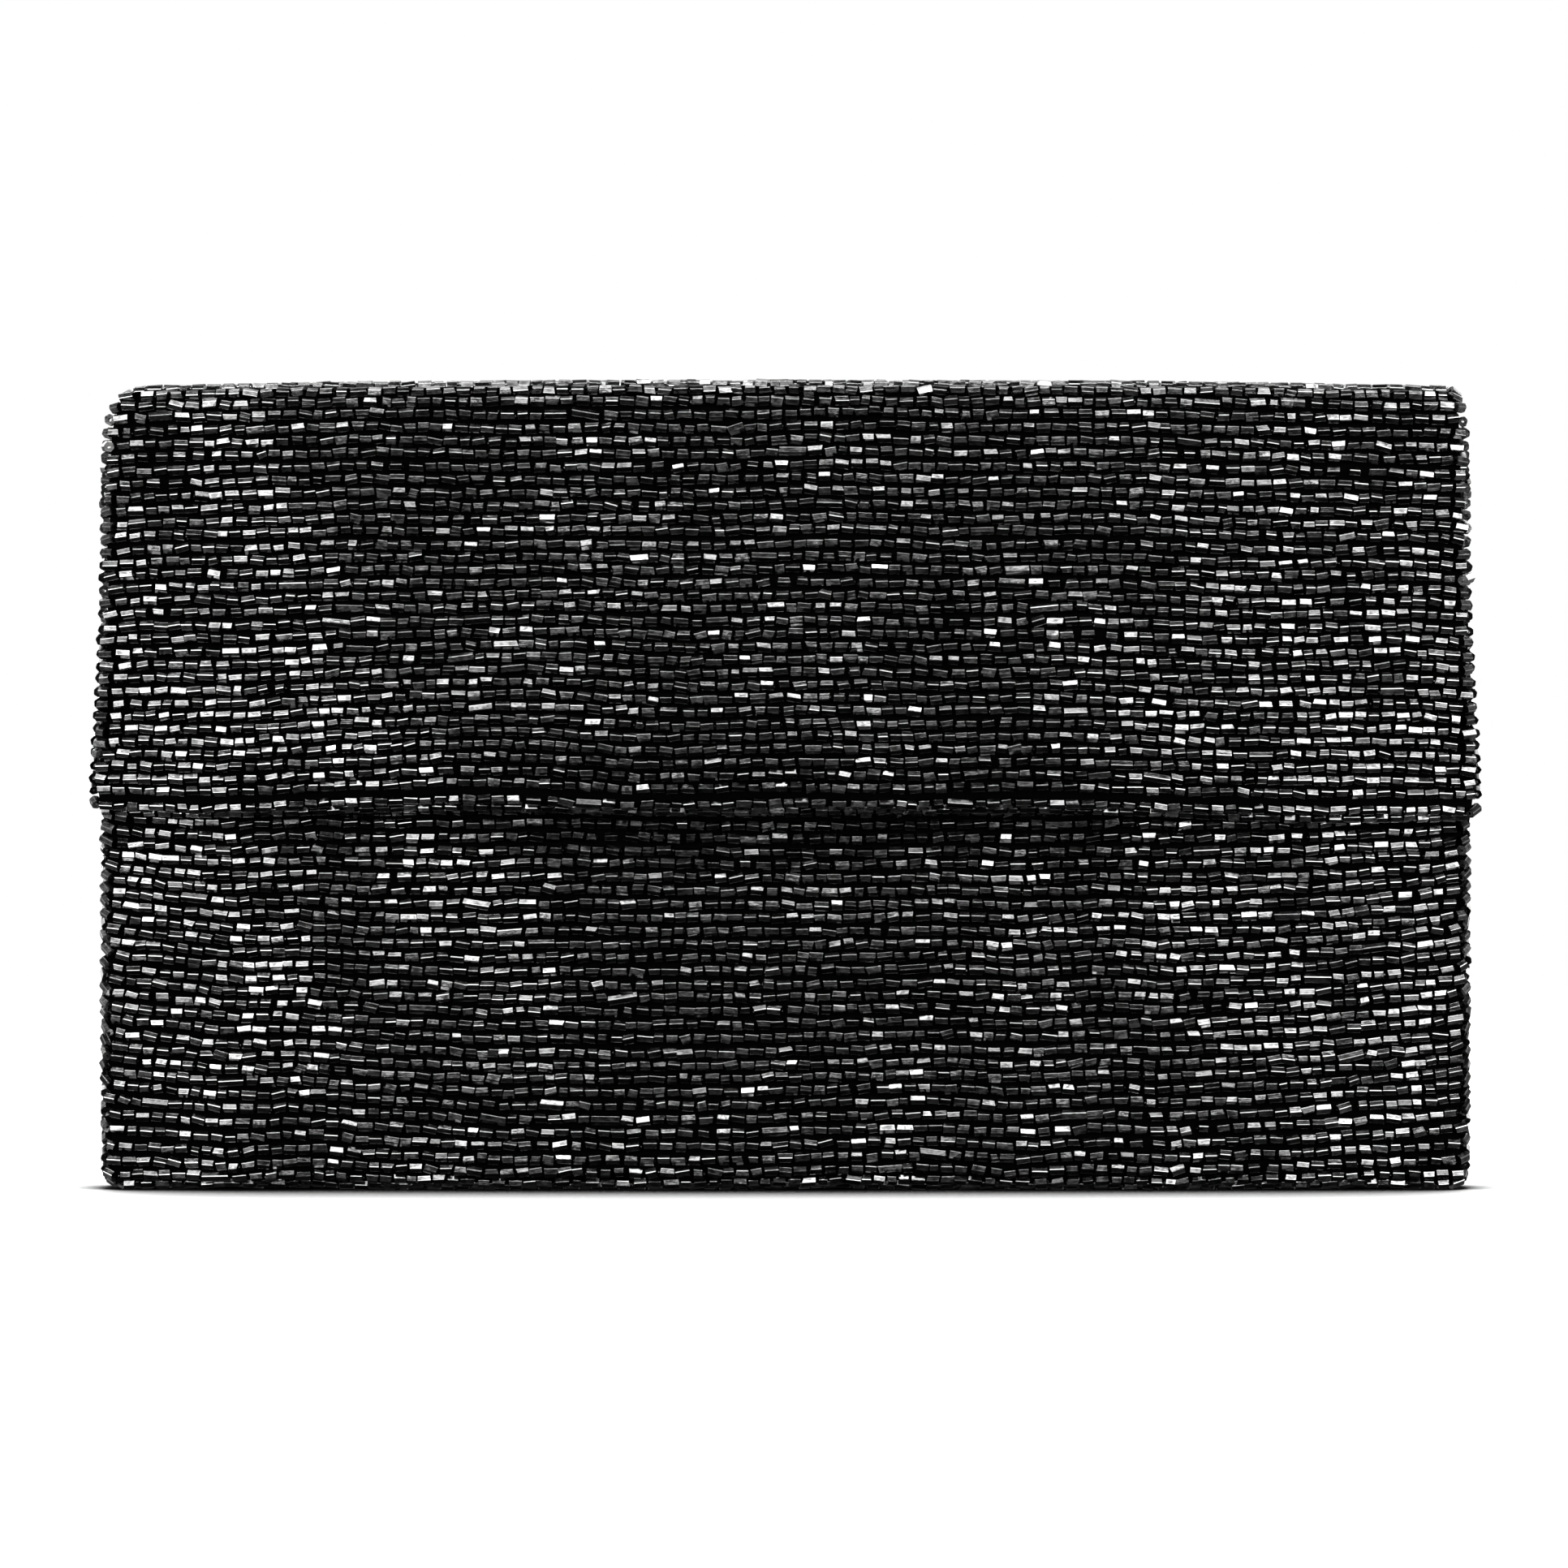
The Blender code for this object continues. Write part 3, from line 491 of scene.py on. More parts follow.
def wall_grid(side, depth, closed=False):
    """A wall of the pouch, that far under its outer face: rows from the seam under the base, round the base
    fold and up to the mouth; each row runs from one side seam to the other. A profile of (distance from the
    middle plane, height) is turned in towards the middle plane at both sides, and the bulge is added to it.
    A closed wall meets the other one in the middle plane, with no gap; the beads stop just short of it."""
    gap = 0.0 if closed else SEAM_GAP
    base, full = FRONT_BULGES if side < 0 else BACK_BULGES
    radius = BASE_RADIUS - depth
    flat_out = SIDE_DEPTH - BASE_RADIUS
    angle = np.linspace(np.pi / 2, 0, 10)
    z_fold = BASE_RADIUS - radius * np.sin(angle)
    z_wall = np.linspace(BASE_RADIUS, MOUTH, 74)[1:]
    steps = np.linspace(0, 1, 8)[:-1]
    base_gap = gap / 1.5
    out = np.concatenate([
        base_gap + (flat_out - base_gap) * steps,
        flat_out + radius * np.cos(angle),
        np.full(len(z_wall), SIDE_DEPTH - depth),
    ])
    z = np.concatenate([np.full(len(steps), depth), z_fold, z_wall])
    swell = np.concatenate([
        bulge(np.zeros(len(steps)), base, full) * steps,
        bulge(z_fold, base, full),
        bulge(z_wall, base, full),
    ])
    drawn = [np.ones(len(steps)), np.sin(angle) ** 2, np.zeros(len(z_wall))]
    inset = CORNER_INSET * np.concatenate(drawn)
    turn = max(SIDE_TURN - depth, 1.0 * MM)
    x, e = lateral(HALF_WIDTH - inset - depth, turn, turn / (SIDE_DEPTH - depth))
    y = gap + (out[:, None] - gap) * e + swell[:, None] * bulge_share(x)
    if closed:
        y = y - swell[:, None] * bulge_share(x[:, :1]) * (1 - e)
    return settle(placed(x, y, z, side), side)


def flap_half_width(z):
    """Straight down from the top, flaring over the lower part, with rounded lower corners."""
    t = np.clip((z - FLAP_LOW) / (TOP - FLAP_LOW), 0, 1)
    corner = 2.6 * MM * np.exp(-np.clip(z - FLAP_LOW, 0, None) / (1.6 * MM))
    return FLAP_HALF_TOP + (FLAP_HALF_LOW - FLAP_HALF_TOP) * (1 - t) ** 2.7 - corner


def flap_out(z, layer):
    """Distance from the middle plane of a layer of the flap, given as its height over the flap's facing."""
    tuck = 1 - smoothstep((z - FLAP_LOW) / FLAP_TUCK_HEIGHT)
    return SIDE_DEPTH + FLAP_GAP + layer - (FLAP_TUCK + FLAP_THINNING * layer / FLAP_THICKNESS) * tuck


def hang_down(points):
    """The lie of the flap's lower edge, which waves a little and is lowest at its right corner: a constant,
    less a square of x, less a cosine of x. It fades out up the flap."""
    x, z = points[..., 0], points[..., 2]
    corner = np.where(x < 0, 0.35 * MM, 1.7 * MM) * (x / FLAP_HALF_LOW) ** 2
    raised = 1.6 * MM - corner - 0.5 * MM * np.cos(2 * np.pi * x / (100 * MM))
    made = points.copy()
    made[..., 2] = z + raised * smoothstep((112 * MM - z) / (42 * MM))
    return made


def flap_grid(depth):
    """The flap's beaded cloth, that far under its outer face: rows from the top down, then round the lower
    edge and in to the facing, and across from one side to the other, turned in to the facing at both."""
    radius = FLAP_EDGE_RADIUS - depth
    z_face = np.linspace(FOLD_HEIGHT, FLAP_LOW + FLAP_EDGE_RADIUS, 46)[:-1]
    angle = np.linspace(0, np.pi / 2, 11)
    face = flap_out(np.array(FLAP_LOW), FLAP_THICKNESS)
    under = face - FLAP_EDGE_RADIUS
    rim_low = flap_out(np.array(FLAP_LOW), 0.0) + 0.3 * MM
    out = np.concatenate([
        flap_out(z_face, FLAP_THICKNESS) - depth,
        under + radius * np.cos(angle),
        np.linspace(under, rim_low, 4)[1:],
    ])
    z_edge = FLAP_LOW + FLAP_EDGE_RADIUS - radius * np.sin(angle)
    z = np.concatenate([z_face, z_edge, np.full(3, FLAP_LOW + depth)])
    rim = np.minimum(flap_out(z, 0.0) + 0.3 * MM, out - 0.05 * MM)
    swell = FLAP_BULGE_SHARE * bulge(z, *FRONT_BULGES)
    turn = max(FLAP_TURN - depth, 1.0 * MM)
    x, e = lateral(flap_half_width(z) - depth, turn, turn / (FLAP_THICKNESS - depth))
    y = rim[:, None] + (out - rim)[:, None] * e + swell[:, None] * bulge_share(x)
    return hang_down(settle(placed(x, y, z, -1), -1))


def flap_layer(layer, inset, low, high, share=1.0, rows=40, columns=110):
    """A flat layer inside the flap, at that height over its facing and that far in from its sides."""
    z = np.linspace(low, high, rows)
    x = np.linspace(-1, 1, columns) * (flap_half_width(z) - inset)[:, None]
    swell = FLAP_BULGE_SHARE * bulge(z, *FRONT_BULGES)
    y = flap_out(z, layer)[:, None] + swell[:, None] * bulge_share(x)
    return hang_down(settle(placed(x, y, z, -1), -1, share))


def facing_grid(layer):
    """The flap's satin facing. Puckers a few millimetres apart run in from its hand-sewn edges and fade
    out, and long soft drag lines cross it: each is half of 1 + sine, so it only lifts off the padding."""
    grid = flap_layer(layer, FACING_INSET, FLAP_LOW + FACING_RISE, FACING_TOP, 0.0, rows=110, columns=300)
    x, z = grid[..., 0], grid[..., 2]
    from_low = np.clip(z - FLAP_LOW - FACING_RISE, 0, None)
    from_side = np.clip(flap_half_width(z) - FACING_INSET - np.abs(x), 0, None)
    along = (1 + np.sin(x / (1.35 * MM) + 2.2 * np.sin(x / (13 * MM)))) / 2
    across = (1 + np.sin(z / (1.25 * MM) + 2.0 * np.sin(z / (9 * MM)))) / 2
    low_hem = 0.32 * MM * along * np.exp(-from_low / (5.5 * MM))
    side_hem = 0.3 * MM * across * np.exp(-from_side / (6 * MM))
    open_field = smoothstep(from_low / (8 * MM)) * smoothstep(from_side / (8 * MM))
    drags = 0.38 * MM * (1 + DRAG(x, z)) / 2 * open_field
    grid[..., 1] += low_hem + side_hem + np.clip(drags, 0, None)
    return grid


def wall_layer(side, depth, half_width, low, high, share=1.0):
    """A flat layer of a wall, that far under its outer face and short of its sides."""
    z = np.linspace(low, high, 50)
    x = np.linspace(-1, 1, 90) * half_width * np.ones((50, 1))
    swell = bulge(z, *(FRONT_BULGES if side < 0 else BACK_BULGES))
    y = SIDE_DEPTH - depth + swell[:, None] * bulge_share(x)
    return settle(placed(x, y, z, side), side, share)


def lining_grid(side, depth):
    """Half of the lining bag, that far under the wall's outer face: up from the seam at its bottom, turned
    in to the side seams, and out to the mouth over its hem. Small upright folds come where it is gathered
    into the seams."""
    rules = FRONT_BULGES if side < 0 else BACK_BULGES
    z = np.concatenate([[depth + 1.5 * MM], np.linspace(depth + 1.6 * MM, LINING_TOP, 60)])
    hem = smoothstep((z - LINING_TOP + LINING_HEM_HEIGHT) / LINING_HEM_HEIGHT)
    at = depth + (LINING_HEM - LININGS[side][0]) * hem
    out = SIDE_DEPTH - at
    out[0] = 0.3 * MM
    swell = bulge(z, *rules)
    swell[0] = 0
    x, e = lateral(np.full(len(z), HALF_WIDTH - depth), 1.4 * MM)
    y = SEAM_GAP + (out[:, None] - SEAM_GAP) * e + swell[:, None] * bulge_share(x)
    middle = np.exp(-np.abs(z - 60 * MM) / (45 * MM))[:, None]
    fold = middle * smoothstep((HALF_WIDTH - np.abs(x)) / (8 * MM)) * (swell > 0)[:, None]
    y = y - 0.35 * MM * (1 + np.sin(x / (3.4 * MM) + 2 * np.sin(x / (11 * MM)))) / 2 * fold
    return settle(placed(x, y, z, side), side, 0.0)


def binding_grid(radius):
    """The strip folded over the front wall's raw upper edge: up its outside, half a turn over it and down
    over the hem of the lining, across the clutch. The half turn has that radius."""
    angle = np.linspace(0, np.pi, 13)
    outer = np.array([-1.0, -0.5]) * BINDING_LEGS[0]
    inner = np.array([-0.25, -0.5, -0.75, -1.0]) * BINDING_LEGS[1]
    hem = smoothstep((MOUTH + inner - LINING_TOP + LINING_HEM_HEIGHT) / LINING_HEM_HEIGHT)
    over_hem = (LININGS[-1][0] - LINING_HEM) * (1 - hem)
    at = BINDING_DEPTH + np.concatenate([np.full(2, -radius), -radius * np.cos(angle), radius + over_hem])
    z = MOUTH + np.concatenate([outer, radius * np.sin(angle), inner])
    x = np.linspace(-1, 1, 120) * BINDING_HALF
    pull = 0.12 * MM * np.sin(x / (1.9 * MM)) * np.sin(x / (23 * MM))
    y = SIDE_DEPTH - at[:, None] + pull
    return settle(placed(np.broadcast_to(x, y.shape), y, z, -1), -1, 0.0)


def top_grid(depth, part):
    """The cloth over the top, that far under its outer face, with free side edges that turn down a little.
    part is rear (from the back wall over the rear fold to the middle of the spine) or front (on to the
    flap)."""
    radius = SPINE_RADIUS - depth
    angle = np.linspace(0, np.pi / 2, 13)
    middle = (REAR_FOLD_Y + FRONT_FOLD_Y) / 2
    if part == "rear":
        y = np.concatenate([
            np.full(3, REAR_FOLD_Y + radius),
            REAR_FOLD_Y + radius * np.cos(angle),
            np.linspace(REAR_FOLD_Y, middle, 6)[1:],
        ])
        z = np.concatenate([
            np.linspace(MOUTH, FOLD_HEIGHT, 4)[:-1],
            FOLD_HEIGHT + radius * np.sin(angle),
            np.full(5, FOLD_HEIGHT + radius),
        ])
        normal_angle = np.concatenate([np.zeros(3), angle, np.full(5, np.pi / 2)])
        side = 1
    else:
        y = np.concatenate([np.linspace(middle, FRONT_FOLD_Y, 6)[:-1], FRONT_FOLD_Y - radius * np.sin(angle)])
        z = np.concatenate([np.full(5, FOLD_HEIGHT + radius), FOLD_HEIGHT + radius * np.cos(angle)])
        normal_angle = np.concatenate([np.full(5, np.pi / 2), np.pi / 2 - angle])
        side = -1
    x, e = lateral(np.full(len(y), FLAP_HALF_TOP - depth), FLAP_TURN)
    drop = 1.6 * MM * (1 - e)
    out_y, out_z = side * np.cos(normal_angle)[:, None], np.sin(normal_angle)[:, None]
    points = np.stack([x, y[:, None] - out_y * drop, z[:, None] - out_z * drop], axis=-1)
    return settle(points, side)


# ---- Laying beads on a grid --------------------------------------------------
def outward(grid, away):
    """Unit normals of a grid, from the cross product of its two directions, turned so that they point
    away."""
    along = np.gradient(grid, axis=1)
    up = np.gradient(grid, axis=0)
    normal = np.cross(along, up)
    normal /= np.maximum(np.linalg.norm(normal, axis=-1, keepdims=True), 1e-12)
    flip = np.sign((normal * away(grid)).sum(-1, keepdims=True))
    return normal * np.where(flip == 0, 1, flip)


def running_length(points, axis):
    """Distance along the grid's lines from their first point."""
    steps = np.linalg.norm(np.diff(points, axis=axis), axis=-1)
    start = np.zeros_like(np.take(steps, [0], axis=axis))
    return np.concatenate([start, np.cumsum(steps, axis=axis)], axis=axis)


def rows_on(grid, normals, at):
    """Lines across the grid at distances at (one per row and column) along its columns."""
    length = running_length(grid, 0)
    both = np.concatenate([grid, normals], axis=-1)
    lines = np.empty((at.shape[0], grid.shape[1], 6))
    for column in range(grid.shape[1]):
        for k in range(6):
            lines[:, column, k] = np.interp(at[:, column], length[:, column], both[:, column, k])
    return lines


def bead_template():
    """A hexagonal bead of unit length and radius along X: six facets with narrow rounded edges between
    them, ends with a round hole, and the hole's wall. Points are on two rings of 12 outside and two of 6
    round the hole. A facet's corners all carry the facet's own normal, so it stays flat and the edge strip
    turns between its two."""
    corner = np.arange(6) * np.pi / 3
    outer = np.stack([corner - BEAD_EDGE, corner + BEAD_EDGE], axis=1).ravel()
    facing = np.stack([corner - np.pi / 6, corner + np.pi / 6], axis=1).ravel()
    hole = BEAD_HOLE * np.stack([np.cos(corner), np.sin(corner)], axis=1)
    rings = []
    for end in (-0.5, 0.5):
        rings.append(np.stack([np.full(12, end), np.cos(outer), np.sin(outer)], axis=1))
        rings.append(np.column_stack([np.full(6, end), hole]))
    points = np.concatenate([rings[0], rings[2], rings[1], rings[3]])
    side = np.stack([np.zeros(12), np.cos(facing), np.sin(facing)], axis=1)
    inner = np.stack([np.zeros(6), -np.cos(corner), -np.sin(corner)], axis=1)
    left, right = np.array([-1.0, 0, 0]), np.array([1.0, 0, 0])
    faces, normals = [], []
    for j in range(12):
        n = (j + 1) % 12
        faces.append((j, n, 12 + n, 12 + j))
        normals += [side[j], side[n], side[n], side[j]]
    for k in range(6):
        a, b, c = 2 * k, 2 * k + 1, (2 * k + 2) % 12
        h, n = 24 + k, 24 + (k + 1) % 6
        faces += [(b, a, h), (c, b, h, n)]
        faces += [(a + 12, b + 12, h + 6), (b + 12, c + 12, n + 6, h + 6), (h + 6, n + 6, n, h)]
        after = inner[(k + 1) % 6]
        normals += [left] * 7 + [right] * 7 + [inner[k], after, after, inner[k]]
    edge = np.zeros(len(faces))
    # The rounded edge strips are marked here for the material's painted highlight.
    edge[0:12:2] = 1.0
    return points, faces, np.array(normals), edge


BEAD_POINTS, BEAD_FACES, BEAD_NORMALS, BEAD_EDGES = bead_template()


def lay_beads(lines, seed):
    """Beads along every line: lengths and gaps are drawn at random, then stretched a little so that each
    row is full. Returns centre, three axes, size, slant of both ends and tone of every bead, and the row it
    belongs to."""
    own = np.random.default_rng(seed)
    found = []
    for number, line in enumerate(lines):
        length = running_length(line[:, :3], 0)
        total = length[-1]
        count = int(total / (BEAD_LENGTH * 0.9)) + 8
        sizes = np.clip(own.normal(BEAD_LENGTH, LENGTH_SPREAD, count), *LENGTH_RANGE)
        sizes = np.where(own.random(count) < LONG_SHARE, own.uniform(*LONG_RANGE, count), sizes)
        gaps = BEAD_GAP + own.exponential(GAP_SPREAD, count)
        gaps = np.where(own.random(count) < SKIP_SHARE, gaps + SKIP_GAP, gaps)
        ends = np.cumsum(sizes + gaps)
        last = int(np.searchsorted(ends, total))
        last = max(last if last < count and ends[last] - total < BEAD_LENGTH / 2 else last - 1, 1)
        scale = total / ends[last]
        middle = (ends - gaps / 2 - sizes / 2)[: last + 1] * scale
        found.append(
            (
                np.stack([np.interp(middle, length, line[:, k]) for k in range(6)], axis=1),
                np.stack(
                    [
                        np.interp(middle + 0.8 * MM, length, line[:, k])
                        - np.interp(middle - 0.8 * MM, length, line[:, k])
                        for k in range(3)
                    ],
                    axis=1,
                ),
                sizes[: last + 1] * min(scale, 1.0),
                np.full(last + 1, number),
            )
        )
    at, axis, size, row = (np.concatenate([f[k] for f in found]) for k in range(4))
    count = len(at)
    normal = at[:, 3:] / np.linalg.norm(at[:, 3:], axis=1, keepdims=True)
    axis /= np.linalg.norm(axis, axis=1, keepdims=True)
    across = np.cross(normal, axis)
    yaw, pitch = own.normal(0, BEAD_YAW, (count, 1)), own.normal(0, BEAD_PITCH, (count, 1))
    axis = axis + across * yaw + normal * pitch
    axis /= np.linalg.norm(axis, axis=1, keepdims=True)
    across = np.cross(normal, axis)
    across /= np.linalg.norm(across, axis=1, keepdims=True)
    up = np.cross(axis, across)
    roll = own.uniform(0, np.pi / 3, (count, 1))
    second = up * np.cos(roll) + across * np.sin(roll)
    third = np.cross(axis, second)
    radius = BEAD_RADIUS * np.clip(own.normal(1, 0.05, count), 0.85, 1.12)
    centre = (
        at[:, :3]
        + normal * own.normal(0, BEAD_SHIFTS[0], (count, 1))
        + across * own.normal(0, BEAD_SHIFTS[1], (count, 1))
    )
    # None goes under the table.
    centre[:, 2] = np.maximum(centre[:, 2], radius + size / 2 * np.abs(axis[:, 2]))
    return {
        "centre": centre,
        "axis": axis,
        "second": second,
        "third": third,
        "length": size,
        "radius": radius,
        "slant": own.normal(0, END_SLANT, (count, 2, 2)),
        "tone": own.beta(1.6, 2.0, count),
        "row": row,
    }


def bead_mesh(name, beads):
    """One mesh of many beads: each template point is centre + axis * (length * x + radius * slant of its
    end) + radius * (second * y + third * z)."""
    t = BEAD_POINTS
    count, each = len(beads["tone"]), len(t)
    axes = np.stack([beads["axis"], beads["second"], beads["third"]], axis=1)
    radius = beads["radius"][:, None]
    end = (t[:, 0] > 0).astype(int)
    slant = (beads["slant"][:, end] * t[None, :, 1:]).sum(-1)
    local = np.empty((count, each, 3))
    local[..., 0] = beads["length"][:, None] * t[None, :, 0] + radius * slant
    local[..., 1:] = radius[..., None] * t[None, :, 1:]
    points = beads["centre"][:, None] + local @ axes
    normals = BEAD_NORMALS[None] @ axes
    sizes = np.array([len(f) for f in BEAD_FACES], np.int32)
    loops = np.concatenate([np.array(f, np.int32) for f in BEAD_FACES])
    all_loops = (loops[None] + np.arange(count, dtype=np.int32)[:, None] * each).ravel()
    all_sizes = np.tile(sizes, count)
    starts = np.concatenate([[0], np.cumsum(all_sizes)[:-1]]).astype(np.int32)
    mesh = bpy.data.meshes.new(name)
    mesh.vertices.add(count * each)
    mesh.vertices.foreach_set("co", points.astype(np.float32).ravel())
    mesh.loops.add(len(all_loops))
    mesh.loops.foreach_set("vertex_index", all_loops)
    mesh.polygons.add(len(all_sizes))
    mesh.polygons.foreach_set("loop_start", starts)
    tone = mesh.attributes.new("tone", "FLOAT", "POINT")
    tone.data.foreach_set("value", np.repeat(beads["tone"], each).astype(np.float32))
    # Marks the rounded edge strips, which the material lightens as painted highlight.
    edge = mesh.attributes.new("edge", "FLOAT", "FACE")
    edge.data.foreach_set("value", np.tile(BEAD_EDGES, count).astype(np.float32))
    mesh.update(calc_edges=True)
    mesh.shade_smooth()
    mesh.normals_split_custom_set(normals.reshape(-1, 3).astype(np.float32))
    mesh.materials.append(BEADS)
    return add_piece(name, mesh)


def add_piece(name, mesh):
    piece = bpy.data.objects.new(name, mesh)
    bpy.context.scene.collection.objects.link(piece)
    return piece


def subset(beads, chosen):
    """The chosen beads, with all that is known of each."""
    return {key: value[chosen] for key, value in beads.items()}


# ---- Sheets between two grids ------------------------------------------------
def slab(name, outer, inner, material):
    """A closed sheet between two grids of the same size: both faces, and a strip round their edge."""
    rows, columns = outer.shape[:2]
    points = np.concatenate([outer.reshape(-1, 3), inner.reshape(-1, 3)])
    index = np.arange(rows * columns).reshape(rows, columns)
    a, b, c, d = index[:-1, :-1], index[:-1, 1:], index[1:, 1:], index[1:, :-1]
    front = np.stack([a, b, c, d], axis=-1).reshape(-1, 4)
    shift = rows * columns
    back = front[:, ::-1] + shift
    edge = np.concatenate([index[0, :], index[1:, -1], index[-1, -2::-1], index[-2:0:-1, 0]])
    after = np.roll(edge, -1)
    rim = np.stack([after, edge, edge + shift, after + shift], axis=-1)
    faces = np.concatenate([front, back, rim])
    corner = points[front]
    normal = np.cross(corner[:, 1] - corner[:, 0], corner[:, 3] - corner[:, 0])
    apart = (outer[:-1, :-1] - inner[:-1, :-1]).reshape(-1, 3)
    if (normal * apart).sum() < 0:
        faces = faces[:, ::-1]
    mesh = bpy.data.meshes.new(name)
    mesh.from_pydata(points.tolist(), [], faces.tolist())
    mesh.update()
    mesh.materials.append(material)
    mesh.shade_smooth()
    mesh.set_sharp_from_angle(angle=math.radians(40))
    return add_piece(name, mesh)


# ---- Building ----------------------------------------------------------------
def away_from_middle(side):
    """A rough outward direction for each point of a wall or the flap."""

    def away(grid):
        x, y, z = grid[..., 0], grid[..., 1], grid[..., 2]
        return np.stack([x * 0.3, (y - MIDDLE_Y) + side * 2 * MM, (z - 40 * MM) * 0.02], axis=-1)

    return away


def away_from_fold(fold_y):
    """A rough outward direction for each point of the cloth over a fold."""

    def away(grid):
        y, z = grid[..., 1], grid[..., 2]
        return np.stack([np.zeros(grid.shape[:2]), y - fold_y, z - FOLD_HEIGHT + 1 * MM], axis=-1)

    return away


def row_places(grid, first, seed, drift, last=0.0):
    """Where each row runs, as a distance along every column: even steps of about ROW_PITCH, from first to
    last short of the end, measured on the middle column and scaled to each one's length. On it come a slow
    wave, a small offset of the row's own and drift, which is given by the column's x and the row's
    distance."""
    own = np.random.default_rng(seed)
    wave = waves(seed, 8, 110 * MM, 32 * MM)
    x = grid[len(grid) // 2, :, 0]
    length = running_length(grid, 0)[-1]
    whole = length[len(length) // 2]
    count = int(round((whole - first - last) / ROW_PITCH)) + 1
    even = np.linspace(first, whole - last, count)[:, None] * length[None] / whole
    at = even + ROW_WAVE * wave(x[None], even * 0.6) + own.normal(0, ROW_OFFSET, (count, 1))
    return np.clip(at + drift(x[None], even), 0, length)


def at_sides(x, half_width, reach):
    """1 at a side of the clutch, falling to 1/e in reach."""
    return np.exp((np.abs(x) - half_width) / reach)


def wall_rows(side, seed):
    """Rows of a wall, from the seam under the base up. Towards the sides they run higher, most in the lower
    half."""
    grid = wall_grid(side, BEAD_DEPTH)
    normals = outward(grid, away_from_middle(side))
    reach = running_length(grid, 0)[-1]

    def drift(x, at):
        low = smoothstep((at - 9 * MM) / (14 * MM)) * smoothstep((90 * MM - at) / (50 * MM))
        near = smoothstep((at - 6 * MM) / (12 * MM)) * smoothstep((reach - at) / (20 * MM))
        outer = np.abs(x) / HALF_WIDTH
        return WALL_SIDE_RISE * at_sides(x, HALF_WIDTH, SIDE_REACH) * near + WALL_LOW_RISE * outer**3 * low

    at = row_places(grid, 1.2 * MM, seed, drift, 0.9 * MM)
    return lay_beads(rows_on(grid, normals, at), seed + 50)


def flap_rows(seed):
    """Rows of the flap, from the front fold down and round its lip. They droop at its sides, and they stand
    apart at the seam just above the lip."""
    grid = flap_grid(BEAD_DEPTH)
    normals = outward(grid, away_from_middle(-1))
    reach = running_length(grid, 0)[-1]

    def drift(x, at):
        along = smoothstep(at / (20 * MM)) * smoothstep((reach - at) / (16 * MM))
        above = np.clip(reach - LIP - at, 0, None)
        seam = np.where(above > 0, LIP_SEAM * np.exp(-above / (20 * MM)), 0.0)
        return FLAP_SIDE_DROOP * at_sides(x, FLAP_HALF_LOW, SIDE_REACH) * along - seam

    return lay_beads(rows_on(grid, normals, row_places(grid, 1.2 * MM, seed, drift)), seed + 50)


def clear_of_snap(beads):
    """Which beads lie outside the bare round under the snap."""
    c = beads["centre"]
    return np.hypot(c[:, 0], c[:, 2] - SNAP_Z) > BARE_RADIUS


def in_parts(beads, body, parts):
    """A piece for each share of the rows, given as (name, first row), all riding on body."""
    firsts = [first for _, first in parts[1:]] + [10**6]
    for (name, first), after in zip(parts, firsts):
        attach(bead_mesh(name, subset(beads, (beads["row"] >= first) & (beads["row"] < after))), body)


def declare(piece, body, nodes):
    """A sheet that stands for CAD nodes and rides on a body."""
    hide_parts(*nodes)
    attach(piece, body)


# Walls of the pouch
front = wall_rows(-1, 21)
in_parts(
    subset(front, clear_of_snap(front)),
    "body",
    [("front_beads_lower", 0), ("front_beads_upper", 23), ("front_beads_top", 45)],
)
in_parts(
    wall_rows(1, 22),
    "body",
    [("back_beads_lower", 0), ("back_beads_middle", 22), ("back_beads_upper", 44)],
)

for side, word in ((-1, "front"), (1, "back")):
    cloth = slab(
        word + "_ground_cloth",
        wall_grid(side, CLOTH_DEPTH, closed=True),
        wall_grid(side, CLOTH_DEPTH + CLOTH_THICKNESS, closed=True),
        CLOTH,
    )
    declare(cloth, "body", [word + "_beaded_panel"])
    pad = slab(
        word + "_wadding_pad",
        wall_layer(side, WADDING_DEPTHS[0], PAD_HALF_WIDTH, *PAD_RANGE),
        wall_layer(side, WADDING_DEPTHS[1], PAD_HALF_WIDTH, *PAD_RANGE, 0.0),
        WADDING,
    )
    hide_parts(word + "_wadding")
    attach(pad, "body")
    satin = slab(
        word + "_satin_lining",
        lining_grid(side, LININGS[side][0]),
        lining_grid(side, LININGS[side][1]),
        SATIN,
    )
    declare(satin, "body", [word + "_lining"])

pocket = slab(
    "slip_pocket_satin",
    wall_layer(1, POCKET_DEPTHS[0], POCKET_HALF_WIDTH, *POCKET_RANGE, 0.0),
    wall_layer(1, POCKET_DEPTHS[1], POCKET_HALF_WIDTH, *POCKET_RANGE, 0.0),
    SATIN,
)
declare(pocket, "body", ["slip_pocket"])

binding = slab(
    "mouth_binding_satin",
    binding_grid(BINDING_RADIUS),
    binding_grid(BINDING_RADIUS - BINDING_THICKNESS),
    SATIN,
)
declare(binding, "body", ["mouth_binding"])

